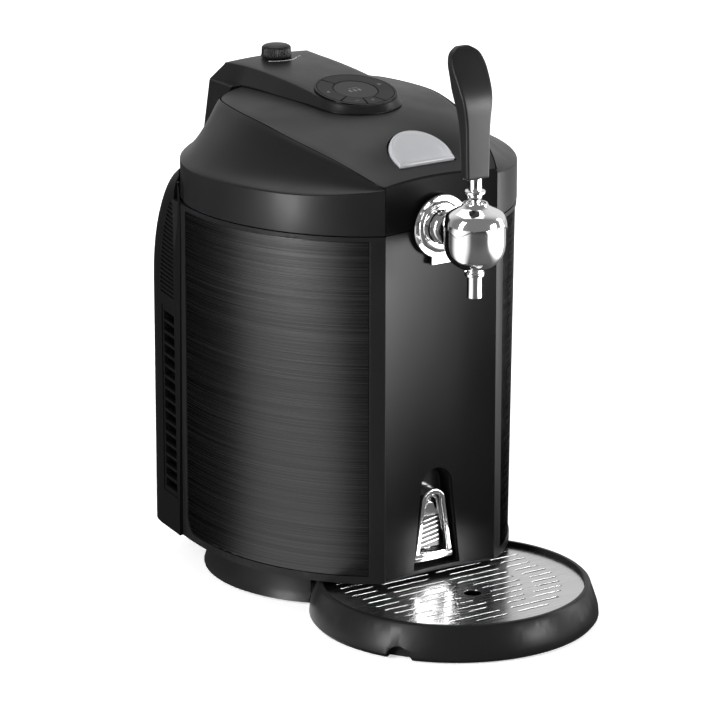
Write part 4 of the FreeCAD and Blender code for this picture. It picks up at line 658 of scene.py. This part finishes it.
def make_lid_cover():
    outer, inner = [], []
    rows = [(x, max(y, COVER_FRONT)) for x, y in joint_outline(1.0)]
    kept = [rows[0]]
    for x, y in rows[1:]:
        if y > kept[-1][1] + 0.3:
            kept.append((x, y))
    for x, y in kept:
        fade = max(0.0, 1 - (y - COVER_FRONT) / 30.0)
        top, low = [], []
        for share in steps(-1, 1, 65):
            px = share * x
            py = y + FRONT_HOLLOW * fade * (1 - share * share)
            pz = dome_z(px, py)
            edge = max(0.0, abs(share) * x - x + 0.8) / 0.8
            top.append((px, py, pz - 0.35 * edge * edge))
            low.append((px, py, pz - 3.0))
        outer.append(top)
        inner.append(low)
    dome = slab("lid_dome", outer, inner, sharp=42)
    carve(dome, moon_cut(1.5, -14, 16), pad_cut(33.3, -12), sharp=42)
    spine = make_spine()
    carve(spine, pad_cut(33.45, -9), sharp=35)
    side = [(81.5, TOWER_TOP), (91.0, 383.0), (100.5, 365.5), (106.0, 356.5), (110.5, 353.8),
            (122.2, 353.8), (122.2, 344.0), (127.0, 344.0), (115.9, TOWER_TOP)]
    tower = prism("lid_tower", [(-TOWER_HALF, y, z) for y, z in side], (2 * TOWER_HALF, 0, 0))
    bevel(tower, 0.9, 3)
    for piece in (dome, spine, tower):
        finish_piece(piece, "lid", "black_plastic", ["lid_cover"])
    bevel(dome, 0.25, 2, 50)


def spine_half(y, z):
    """Half width of the spine behind the pad, in straight lines from row to row."""
    share = (z - SPINE_LOW) / SPINE_TALL
    i = 0
    while i < len(SPINE_SIDES) - 2 and y > SPINE_SIDES[i + 1][0]:
        i += 1
    (start, *first), (end, *last) = SPINE_SIDES[i:i + 2]
    part = (y - start) / (end - start)
    low, high = (a + (b - a) * part for a, b in zip(first, last))
    return low + (high - low) * share


def spine_top(x, y):
    return table(SPINE_TOP, 1, y) - 1.6 * (x / 42.0) ** 2


def spine_ring(level, shrink, top):
    """Ring round the spine: level is a height, or a depth under the top."""
    points = []
    marks = [("nose", t) for t in steps(0, math.pi, 49)]
    marks += [("left", s) for s in steps(0, 1, 25)[1:]]
    marks += [("rear", s) for s in steps(-1, 1, 17)[1:-1]]
    marks += [("right", s) for s in steps(1, 0, 25)[:-1]]
    for kind, s in marks:
        height = table(SPINE_TOP, 1, PAD_Y) if top else level
        rear_z = SPINE_REAR_TOP if top else level
        rear = SPINE_REAR + (SPINE_REAR_Z - rear_z) * SPINE_LEAN - shrink
        if kind == "nose":
            radius = spine_half(PAD_Y, height) - shrink
            x, y = radius * math.cos(s), PAD_Y - radius * math.sin(s)
        elif kind == "rear":
            x, y = s * (spine_half(rear, rear_z) - shrink), rear
        else:
            y = PAD_Y + (rear - PAD_Y) * s
            height = table(SPINE_TOP, 1, y) if top else level
            x = (spine_half(y, height) - shrink) * (-1 if kind == "left" else 1)
        points.append((x, y, spine_top(x, y) - level if top else level))
    return points


def weld(obj):
    """Join points that coincide and drop the faces that vanish."""
    mesh = bmesh.new()
    mesh.from_mesh(obj.data)
    bmesh.ops.remove_doubles(mesh, verts=mesh.verts, dist=2e-6)
    bmesh.ops.dissolve_degenerate(mesh, edges=mesh.edges, dist=1e-6)
    mesh.to_mesh(obj.data)
    mesh.free()


def make_spine():
    """Raised spine: its foot sinks into the dome in front and the tower behind."""
    rings = [[(x, y, 384.0 if y < SPINE_MEETS_TOWER else TOWER_TOP - 0.1)
              for x, y, _ in spine_ring(TOWER_TOP, 1.4, False)]]
    for shrink, lift in ((1.3, 0.9), (0.25, 0.9), (0.0, 1.2)):
        ring = []
        for x, y, _ in spine_ring(TOWER_TOP, shrink, False):
            foot = min(TOWER_TOP + 0.3, dome_z(x, min(y, 118.0))) + lift
            ring.append((x, y, foot if y < SPINE_MEETS_TOWER else TOWER_TOP - 0.05))
        rings.append(ring)
    rings += [spine_ring(1.5, 0, True), spine_ring(0.75, 0.2, True), spine_ring(0.25, 0.62, True),
              spine_ring(0.0, 1.5, True)]
    base = rings[-1]
    for share in (0.86, 0.66, 0.44, 0.22, 0.0):
        ring = []
        for x, y, _ in base:
            px, py = x * share, PAD_Y + (y - PAD_Y) * share if y < PAD_Y else y
            ring.append((px, py, spine_top(px, py)))
        rings.append(ring)
    spine = loft("lid_spine", rings, sharp=35, cap_end=False)
    weld(spine)
    return spine


def make_front_plate():
    plate = front_wall("lid_front_face", (0.0, 2.6), 53.0, 65, 53.6,
                       lambda x, y: steps(LID_BOTTOM, dome_z(x, y), 13))
    carve(plate, shank_cut(13.5))
    finish_piece(plate, "lid", "gloss_black", ["lid_front_plate"], "lid_gloss")
    bevel(plate, 0.5, 3)


# ---- body ----
def up_body(z, low, high):
    """A size of the body at a height, from its sizes at the bottom and the top."""
    return low + (z - BODY_BOTTOM) / (BODY_TOP - BODY_BOTTOM) * (high - low)


def make_side_panel(side):
    name = "left" if side < 0 else "right"
    heights = [PANEL_LOW, 37.3, 38.0, 39.2, 41.0, 43.5, 46.5, 50.0] + steps(53.0, PANEL_HIGH, 60)
    walls = []
    for inset in (1.0, 2.0):
        rows = []
        for z in heights:
            half = up_body(z, BOTTOM_HALF_WIDTH, TOP_HALF_WIDTH) - inset
            front = up_body(z, BOTTOM_FRONT, TOP_FRONT) - inset
            rear = 42.0 - 15.0 * (z - PANEL_LOW) / (PANEL_HIGH - PANEL_LOW)
            into_corner = PANEL_LOW + PANEL_CORNER - z
            if into_corner > 0:
                rear -= PANEL_CORNER - math.sqrt(max(0.0, PANEL_CORNER ** 2 - into_corner ** 2))
            start = math.asin(PILLAR_EDGE / half)
            end = math.acos(-rear / (BODY_REAR - inset))
            row = []
            for t in steps(start, end, 81):
                reach = front if math.cos(t) > 0 else BODY_REAR - inset
                row.append((side * half * math.sin(t), -reach * math.cos(t), z))
            rows.append(row)
        walls.append(rows)
    panel = slab(f"steel_side_{name}", *walls)
    finish_piece(panel, "root", "black_steel", [f"side_panel_{name}"])
    bevel(panel, 0.3, 2)


def recess_outline(y, grow):
    """Arch of the recess in the front panel, grown all round."""
    top = 15.0 + grow
    return arch(y, 22.4 + grow, top, RECESS_LOW - grow, RECESS_ARCH + top)


def make_front_panel():
    panel = front_wall("front_face", (0.0, 3.0), FRONT_PANEL_HALF, 65, 53.5,
                       lambda x, y: steps(32.0, BODY_TOP, 73))
    recess = prism("cutter", recess_outline(-160.0, 0.1), (0, 60, 0))
    carve(panel, recess, shank_cut(10.6))
    finish_piece(panel, "root", "gloss_black", ["front_panel"])
    bevel(panel, 0.5, 3)


# ---- tap ----
def smooth_profile(points, count):
    """Points spaced evenly along a smooth curve through a profile."""
    lengths = [0.0]
    for a, b in zip(points, points[1:]):
        lengths.append(lengths[-1] + math.dist(a, b))
    knots = [list(zip(lengths, [p[k] for p in points])) for k in (0, 1)]
    return [tuple(spline(k, t) for k in knots) for t in steps(0, lengths[-1], count)]


def make_tap():
    bulb = [(0.0, TAP_Z - 26.8)] + [(r, TAP_Z + z) for r, z in smooth_profile(TAP_PROFILE, 60)]
    bulb += [(0.0, TAP_Z + 21.6)]
    body = lathe("tap_bulb", bulb, y=TAP_Y, sides=128)
    rings = []
    sides = 144
    for i in range(sides):
        turn = 2 * math.pi * i / sides
        azimuth = math.atan2(math.cos(turn), -math.sin(turn))
        dip = max(0.0, 1 - abs(abs(azimuth) - DIP_MIDDLE) / DIP_REACH) ** 1.6
        edge = 9.2 - 6.2 * dip + 0.8 * math.cos(2 * azimuth)
        radius = table(TAP_PROFILE, 0, edge, 1)
        low = [(radius + 0.05, edge), (radius + 0.75, edge), (radius + 1.0, edge + 0.4)]
        rise = steps(edge + 1.2, 20.8, 12)
        high = [(table(TAP_PROFILE, 0, z, 1) + 1.0, z) for z in rise]
        top = [(13.4, 23.0), (11.0, 24.4), (9.9, 26.6), (8.6, 26.6), (8.6, 20.0)]
        rings.append([(r * math.cos(turn), r * math.sin(turn) + TAP_Y, TAP_Z + z)
                      for r, z in low + high + top])
    bonnet = add_mesh("tap_bonnet", *grid(rings, close_rows=True))
    sleeve = lathe("tap_sleeve", [(10.5, -144.2), (13.0, -144.2), (13.5, -144.7), (13.5, -162.6),
                                  (13.1, -163.0), (15.5, -163.0), (16.0, -163.5), (16.0, -167.5),
                                  (15.5, -168.0), (13.0, -168.0), (13.5, -168.6), (13.5, -176.0),
                                  (10.5, -176.0)], axis="y", z=SHANK_Z)
    for piece in (body, bonnet, sleeve):
        finish_piece(piece, "root", "chrome", ["tap_body"])
    spout = lathe("tap_spout_tube", [(4.6, 275), (4.6, 270.6), (5.2, 270.4), (6.0, 271.0),
                                     (6.0, 273.0), (5.85, 277.0), (5.85, 288.0), (7.6, 288.4),
                                     (7.8, 289.2), (7.8, 291.2), (7.4, 291.9), (6.6, 292.2),
                                     (8.0, 294.6)], y=TAP_Y)
    finish_piece(spout, "root", "chrome", ["tap_spout"])
    rose = lathe("tap_flange", [(11.0, -138.0), (14.4, -143.6), (17.4, -143.6), (20.2, -143.0),
                                (21.3, -141.8), (21.6, -141.2), (22.6, -141.2), (23.4, -142.0),
                                (24.8, -142.0), (25.6, -141.2), (25.6, -138.6), (24.0, -136.6)],
                 axis="y", z=SHANK_Z)
    tab = prism("tap_tab", [(-9.5, -141.9, TAP_Z - 33), (9.5, -141.9, TAP_Z - 33),
                            (9.5, -141.9, TAP_Z - 20), (-9.5, -141.9, TAP_Z - 20)], (0, 4.6, 0))
    bevel(tab, 0.7, 3)
    for piece in (rose, tab):
        finish_piece(piece, "root", "chrome", ["tap_rosette"])
    stem = lathe("tap_stem", [(0.0, 333.2), (4.0, 334.2), (6.6, 338.0), (7.0, 340.2), (6.2, 343.4),
                              (4.2, 345.9), (4.0, 347.0), (4.0, 350.0), (5.0, 350.1), (5.5, 351.6),
                              (6.6, 354.6), (7.6, 354.6), (8.2, 355.2), (8.2, 356.4), (7.6, 357.0),
                              (5.4, 357.2), (5.2, 358.0), (5.2, 366.8), (0.0, 366.8)], y=TAP_Y)
    finish_piece(stem, "tap_lever", "chrome", ["lever_stem"])


def handle_ring(rise):
    half, front, rear = (table(HANDLE, k, rise) for k in (1, 2, 3))
    depth = rear - front
    tight, wide = min(2.2, depth * 0.24), min(5.0, depth * 0.42)
    corners = [(-half + tight, front + tight, tight, math.pi),
               (half - tight, front + tight, tight, 1.5 * math.pi),
               (half - wide, rear - wide, wide, 0.0),
               (-half + wide, rear - wide, wide, 0.5 * math.pi)]
    points = []
    for cx, cy, radius, start in corners:
        for t in steps(start, start + math.pi / 2, 9):
            points.append((cx + radius * math.cos(t), TAP_Y + cy + radius * math.sin(t),
                           HANDLE_FOOT + rise))
    return points


def make_handle():
    rises = steps(0.6, 100.9, 64)
    rings = [handle_ring(rise) for rise in rises]
    first, last = rings[0], rings[-1]
    rings.insert(0, [(x * 0.95, TAP_Y + 0.6 + (y - TAP_Y - 0.6) * 0.95, HANDLE_FOOT)
                     for x, y, _ in first])
    my = TAP_Y + 19.0
    for share, up in ((0.8, 0.35), (0.45, 0.5)):
        rings.append([(x * share, my + (y - my) * share, z + up) for x, y, z in last])
    handle = loft("tap_paddle", rings, sharp=50)
    finish_piece(handle, "tap_lever", "handle_plastic", ["tap_handle"])


# ---- small pieces on the lid ----
def make_knob():
    rings = []
    low, high = 409.4, 420.0
    profile = [(11.6, low, 0), (12.6, low + 0.4, 0), (12.8, low + 1.4, 0), (12.3, low + 1.8, 1),
               (12.2, low + 3.5, 1), (12.1, high - 3.0, 1), (11.8, high - 2.2, 0.6),
               (11.2, high - 1.4, 0.1), (9.8, high - 0.7, 0), (7.2, high - 0.25, 0),
               (3.5, high - 0.03, 0), (0.4, high, 0)]
    for radius, z, rib in profile:
        ring = []
        for i in range(KNOB_SIDES):
            t = 2 * math.pi * i / KNOB_SIDES
            r = radius - rib * 0.42 * (0.5 + 0.5 * math.cos(KNOB_RIBS * t)) ** 1.5
            ring.append((r * math.cos(t), KNOB_Y + r * math.sin(t), z))
        rings.append(ring)
    knob = loft("knob_cap", rings, sharp=60)
    finish_piece(knob, "pressure_knob", "black_plastic", ["pressure_knob"])


def make_button():
    outline = moon_outline(BUTTON_HALF, BUTTON_DEPTH)
    rings = []
    middle_y = -1.0
    for share, height in ((1.0, -4.0), (1.0, 1.3), (0.992, 1.8), (0.97, 2.1), (0.93, 2.15),
                          (0.885, 1.85), (0.84, 1.2), (0.76, 0.75), (0.6, 0.45), (0.4, 0.25),
                          (0.2, 0.15), (0.04, 0.12)):
        ring = []
        for x, y in outline:
            lift = 0.0 if share > 0.99 else 0.35 * max(0.0, y) / 18.0
            ring.append((x * share, middle_y + (y - middle_y) * share, min(2.2, height + lift)))
        rings.append(tilted(ring, BUTTON_MIDDLE, BUTTON_TURN))
    button = loft("button_cap", rings, sharp=60)
    under = tilted([(-8, -14, -9), (8, -14, -9), (8, -10, -9), (-8, -10, -9)],
                   BUTTON_MIDDLE, BUTTON_TURN)
    foot = prism("button_foot", under, tilted([(0, 0, 5.1)], (0, 0, 0), BUTTON_TURN)[0])
    bevel(foot, 0.4)
    for piece in (button, foot):
        finish_piece(piece, "release_button", "satin_silver", ["release_button"])


def pad_points(points, height):
    return tilted([(x, y, height) for x, y in points], (0, PAD_Y, PAD_Z), PAD_TILT)


def pad_mark(name, body, points, height=0.62):
    """Printed mark on a key or the display, 0.07 mm thick."""
    rings = [pad_points(points, height - 0.04), pad_points(points, height + 0.03)]
    mark = loft(name, rings)
    finish_piece(mark, body, "key_plastic", material="dim_mark")


def bar(x, y, width, height):
    return [(x - width / 2, y - height / 2), (x + width / 2, y - height / 2),
            (x + width / 2, y + height / 2), (x - width / 2, y + height / 2)]


PAD_PIECES = [("pad_bezel", "lid", "gloss_black", "pad"),
              ("display_lens", "lid", "display", "display")]
PAD_PIECES += [(key, key, "key_plastic", "key")
               for key in ("key_left", "key_front_left", "key_front_right", "key_right")]


def make_pad():
    for node, body, slot, material in PAD_PIECES:
        piece = refined_copy(node, f"{node}_skin", 0.28, 2)
        finish_piece(piece, body, slot, [node], material)
    pad_mark("mark_minus", "key_front_left", bar(-12.4, -21.4, 3.4, 0.8))
    pad_mark("mark_plus_across", "key_front_right", bar(0.4, -24.6, 3.4, 0.8))
    pad_mark("mark_plus_up", "key_front_right", bar(0.4, -24.6, 0.8, 3.4), 0.66)
    pad_mark("mark_left", "key_left", [(-26.6, 2.6), (-23.2, 0.6), (-23.2, 4.6)])
    pad_mark("mark_right", "key_right", [(26.6, 2.6), (23.2, 4.6), (23.2, 0.6)])
    pad_mark("display_bar", "lid", bar(-0.6, 3.2, 9.0, 0.7), 0.43)
    for i, x in enumerate((-6.0, -1.6, 2.8)):
        pad_mark(f"display_digit_{i}", "lid", bar(x, -1.6, 2.6, 4.4), 0.43)


def spine_strip(name, points, width):
    """Printed line on top of the spine."""
    left, right = [], []
    for i, (x, y) in enumerate(points):
        ax, ay = points[max(0, i - 1)]
        bx, by = points[min(len(points) - 1, i + 1)]
        length = math.hypot(bx - ax, by - ay)
        nx, ny = -(by - ay) / length * width / 2, (bx - ax) / length * width / 2
        left.append((x + nx, y + ny, spine_top(x + nx, y + ny) + 0.07))
        right.append((x - nx, y - ny, spine_top(x - nx, y - ny) + 0.07))
    low = [[(x, y, z - 0.2) for x, y, z in row] for row in (left, right)]
    strip = slab(name, [left, right], low)
    finish_piece(strip, "lid", "black_plastic", material="mark")


def make_scale():
    radius = 16.5
    arc = [(radius * math.cos(t), KNOB_Y + radius * math.sin(t))
           for t in steps(math.radians(215), math.radians(325), 25)]
    spine_strip("scale_arc", arc, 0.9)
    spine_strip("scale_dash", [(16.8, KNOB_Y - 6.0), (20.0, KNOB_Y - 6.0)], 0.9)


# ---- bottle opener ----
def arch(y, half_low, half_top, low, high):
    """Open-bottomed arch as a closed outline."""
    points = [(-half_low, y, low), (half_low, y, low)]
    for t in steps(0, math.pi, 33):
        points.append((half_top * math.cos(t), y, high - half_top + half_top * math.sin(t)))
    return points


def arch_band(name, front, rear, outer, inner, low):
    """Arch with an open middle: outer and inner are (half low, half top, high)."""
    faces = []
    for y in (front, rear):
        rows = [arch(y, half_low, half_top, low, high)
                for half_low, half_top, high in (outer, inner)]
        faces.append([row[1:] + row[:1] for row in rows])
    return slab(name, *faces)


def make_opener():
    back = -119.9
    plate = prism("opener_plate", recess_outline(back - 2.0, -2.0), (0, 1.9, 0))
    finish_piece(plate, "root", "chrome", ["bottle_opener"], "inner_gloss")
    hood = arch_band("opener_hood", back - 13.0, back - 2.0,
                     (18.4, 11.6, 98.5), (13.4, 7.6, 93.5), 44.0)
    bevel(hood, 1.5, 4)
    ridge = arch_band("opener_ridge", back - 9.0, back - 2.0,
                      (13.0, 7.2, 92.8), (11.0, 5.4, 90.0), 60.0)
    bevel(ridge, 0.7, 3)
    tongue = prism("opener_tongue", arch(back - 7.0, 9.4, 4.2, 74.0, 86.0), (0, 5.0, 0))
    bevel(tongue, 0.8, 3)
    lip = []
    for y, z, half in ((-3.0, 38.0, 17.8), (-12.0, 37.6, 18.4), (-14.4, 39.2, 18.6),
                       (-14.8, 42.0, 18.2), (-13.4, 45.0, 17.8), (-10.0, 46.0, 17.4),
                       (-3.0, 46.2, 17.2)):
        lip.append([(x * half, back + y + 1.4 * x * x, z) for x in steps(-1, 1, 25)])
    band = slab("opener_band", lip, [[(x, back - 2.0, z) for x, y, z in row] for row in lip])
    bevel(band, 0.5, 2, 60)
    for piece in (hood, ridge, tongue, band):
        finish_piece(piece, "root", "chrome", ["bottle_opener"])
    window = prism("opener_window", [(x, back - 6.0, z) for x, z in (
        (-10.6, 47.0), (10.6, 47.0), (10.2, 73.6), (-10.2, 73.6))], (0, 4.0, 0))
    bevel(window, 0.4)
    finish_piece(window, "root", "chrome", ["bottle_opener"], "inner_gloss")
    for i in range(6):
        z = 49.6 + i * 3.9
        rib = prism(f"opener_rib_{i}", [(x, back - 7.2, z + rise) for x, rise in (
            (-8.6, 0), (8.6, 2.6), (8.6, 4.0), (-8.6, 1.4))], (0, 1.6, 0))
        bevel(rib, 0.3)
        finish_piece(rib, "root", "chrome", ["bottle_opener"], "steel")


# CAD piece, new name, body, slot, material, width and segments of the rounded edge.
COPIES = [
    ("body_housing", "body_housing_skin", "root", "black_plastic", "black", 0.45, 2),
    ("rear_cover", "rear_cover_skin", "root", "black_plastic", "rear", 0.5, 2),
    # The rear cover and the left vent grille take the rear plastic with its painted shade; the
    # right vent grille keeps the plain black.
    ("foot_base", "foot_base_skin", "root", "black_plastic", "black", 0.6, 2),
    ("vent_grille_left", "vent_grille_left_skin", "root", "black_plastic", "rear", 0.2, 2),
    ("vent_grille_right", "vent_grille_right_skin", "root", "black_plastic", "black", 0.2, 2),
    ("drip_tray", "tray_skin", "drip_tray", "black_plastic", "black", 0.8, 3),
    ("tray_grille", "grille_skin", "drip_tray", "grille_steel", "grille_steel", 0.25, 2),
]


def make_copies():
    """CAD pieces whose shape is right, with welded faces and rounded edges."""
    for node, name, body, slot, material, width, segments in COPIES:
        piece = refined_copy(node, name, width, segments, 40.0, 35.0)
        finish_piece(piece, body, slot, [node], material)


# ---- camera, floor and light ----
CAMERA_AZIMUTH = math.radians(-33.82)
CAMERA_HEIGHT = math.radians(16.70)
CAMERA_DISTANCE = 3628.69
CAMERA_TARGET = (-20.70, -57.0, 190.75)
CAMERA_LENS = 225.0
BACKDROP_SIDE = (0.556, 0.831, 0.0)
BACKDROP_GREY = (0.8, 0.8, 0.8, 1.0)
# Painted reflections: for mirror rays the floor glows in a band to the left and in a strong patch
# at the right front, lighting the machine's shiny faces like lamps.
FLOOR_LEFT, PAINTED_BAND_GLOW = (-0.99, -0.1, 0.0), 1.15
FLOOR_RIGHT, PAINTED_PATCH_GLOW = (1.0, 0.0, 0.0), 12.5
FLOOR_AHEAD = (0.0, -1.0, 0.0)
# Lamps: name, place, target, width, height, power; places in metres.
LAMPS = [
    ("side_left", (-1.75, -0.25, 0.15), (0, 0.0, 0.2), 0.36, 1.6, 72),
    ("key_left", (-2.0, -0.4, 1.6), (0, 0, 0.25), 0.6, 0.9, 14),
    ("top", (0.3, 0.6, 1.9), (0, 0, 0.3), 1.2, 1.2, 12),
    ("right", (1.7, -0.5, 0.8), (0, 0, 0.25), 0.5, 1.2, 12),
    ("low_front", (0.85, -1.3, 0.45), (0, -0.1, 0.35), 0.5, 0.5, 20),
]


def aim(obj, direction):
    obj.rotation_mode = "QUATERNION"
    obj.rotation_quaternion = direction.to_track_quat("-Z", "Y")


def make_camera():
    data = bpy.data.cameras.new("camera")
    data.lens = CAMERA_LENS
    data.sensor_width = 36.0
    camera = new_object("camera", data)
    back = Vector((math.sin(CAMERA_AZIMUTH) * math.cos(CAMERA_HEIGHT),
                   -math.cos(CAMERA_AZIMUTH) * math.cos(CAMERA_HEIGHT), math.sin(CAMERA_HEIGHT)))
    camera.location = at(*CAMERA_TARGET) + back * CAMERA_DISTANCE * MM
    aim(camera, -back)
    data.clip_start, data.clip_end = 0.1, 60.0
    bpy.context.scene.camera = camera


def add_mix(owner, share, first, second):
    """Blend of two shaders; the share goes to the second."""
    mix = add_node(owner, "ShaderNodeMixShader")
    for source, target in zip((share, first, second), mix.inputs):
        link(owner, source, target)
    return mix.outputs[0]


def add_math(owner, a, b, operation="MULTIPLY"):
    node = add_node(owner, "ShaderNodeMath", operation=operation)
    link(owner, a, node.inputs[0])
    link(owner, b, node.inputs[1])
    return node.outputs[0]


def rise_along(owner, spot, direction, span, values):
    """Value that changes smoothly along a direction."""
    along = add_node(owner, "ShaderNodeVectorMath", operation="DOT_PRODUCT")
    along.inputs[1].default_value = direction
    link(owner, spot, along.inputs[0])
    return map_range(owner, along.outputs["Value"], span, values, "SMOOTHSTEP")


def make_world():
    """Pale grey for camera rays. Mirror and transmission rays see it at a quarter
    on the camera's side and in full behind the machine, the rest a dim room."""
    world = bpy.data.worlds.new("studio")
    world.use_nodes = True
    bpy.context.scene.world = world
    world.node_tree.nodes.clear()
    path = add_node(world, "ShaderNodeLightPath")
    pale = add_node(world, "ShaderNodeBackground", Color=BACKDROP_GREY)
    mirror = add_node(world, "ShaderNodeBackground", Color=BACKDROP_GREY)
    soft = add_node(world, "ShaderNodeBackground", Color=(0.9, 0.92, 0.95, 1.0), Strength=0.3)
    place = add_node(world, "ShaderNodeTexCoord")
    growing = rise_along(world, place.outputs["Generated"], BACKDROP_SIDE,
                         (-0.1, 0.75), (0.25, 1.0))
    link(world, growing, mirror.inputs["Strength"])
    reflected = add_math(world, path.outputs["Is Glossy Ray"], path.outputs["Is Transmission Ray"],
                         "MAXIMUM")
    first = add_mix(world, reflected, soft.outputs[0], mirror.outputs[0])
    second = add_mix(world, path.outputs["Is Camera Ray"], first, pale.outputs[0])
    out = add_node(world, "ShaderNodeOutputWorld")
    link(world, second, out.inputs["Surface"])


def make_floor():
    """Pale floor that glows for camera rays, so that it is white in the picture.
    Mirror rays see painted reflections on it: a dark floor, as painted shade, with a
    glowing band to the left and a strong glowing patch to the right in front, as painted
    highlights on the machine's shiny faces. Transmission rays see no glow."""
    bpy.ops.mesh.primitive_plane_add(size=12.0, location=(0.0, 0.0, -0.0004))
    floor = bpy.context.object
    floor.name = "studio_floor"
    material, shader = new_material("floor_white", (0.88, 0.88, 0.88), 0.7, specular=0.1)
    path = add_node(material, "ShaderNodeLightPath")
    mirror_ray = path.outputs["Is Glossy Ray"]
    spot = add_node(material, "ShaderNodeTexCoord").outputs["Object"]
    reach = add_node(material, "ShaderNodeVectorMath", operation="LENGTH")
    link(material, spot, reach.inputs[0])
    seen = map_range(material, reach.outputs["Value"], (0.3, 1.3), (0.5, 1.0))
    seen = add_math(material, seen, path.outputs["Is Camera Ray"])
    turn = add_node(material, "ShaderNodeVectorMath", operation="NORMALIZE")
    link(material, spot, turn.inputs[0])
    left = rise_along(material, turn.outputs["Vector"], FLOOR_LEFT, (0.74, 0.99), (0.0, PAINTED_BAND_GLOW))
    right = rise_along(material, spot, FLOOR_RIGHT, (0.2, 1.1), (0.0, PAINTED_PATCH_GLOW))
    ahead = rise_along(material, spot, FLOOR_AHEAD, (-0.1, 0.4), (0.04, 1.0))
    patch = add_math(material, add_math(material, right, ahead), left, "ADD")
    patch = add_math(material, patch, mirror_ray)
    glow = add_node(material, "ShaderNodeEmission")
    link(material, add_math(material, seen, patch, "ADD"), glow.inputs["Strength"])
    # Painted shade in reflections: mirror rays see the floor as a dark grey surface instead of a
    # pale one.
    dark = add_node(material, "ShaderNodeBsdfDiffuse", Color=(0.1, 0.1, 0.1, 1.0))
    both = add_node(material, "ShaderNodeAddShader")
    surface = add_mix(material, mirror_ray, shader.outputs[0], dark.outputs[0])
    link(material, surface, both.inputs[0])
    link(material, glow.outputs[0], both.inputs[1])
    link(material, both.outputs[0], material.node_tree.nodes["Material Output"].inputs["Surface"])
    floor.data.materials.append(material)


def make_lights():
    for name, place, target, width, height, power in LAMPS:
        data = bpy.data.lights.new(name, "AREA")
        data.shape = "RECTANGLE"
        data.size, data.size_y, data.energy = width, height, power
        light = new_object(name, data)
        light.location = Vector(place)
        aim(light, Vector(target) - Vector(place))


dress_cad_nodes()
for make in (make_lid_shell, make_lid_cover, make_front_plate, make_front_panel, make_tap,
             make_handle, make_knob, make_button, make_pad, make_scale, make_opener, make_copies):
    make()
for side in (-1, 1):
    make_side_panel(side)
make_camera()
make_world()
make_floor()
make_lights()
bpy.context.scene.view_settings.view_transform = "Standard"
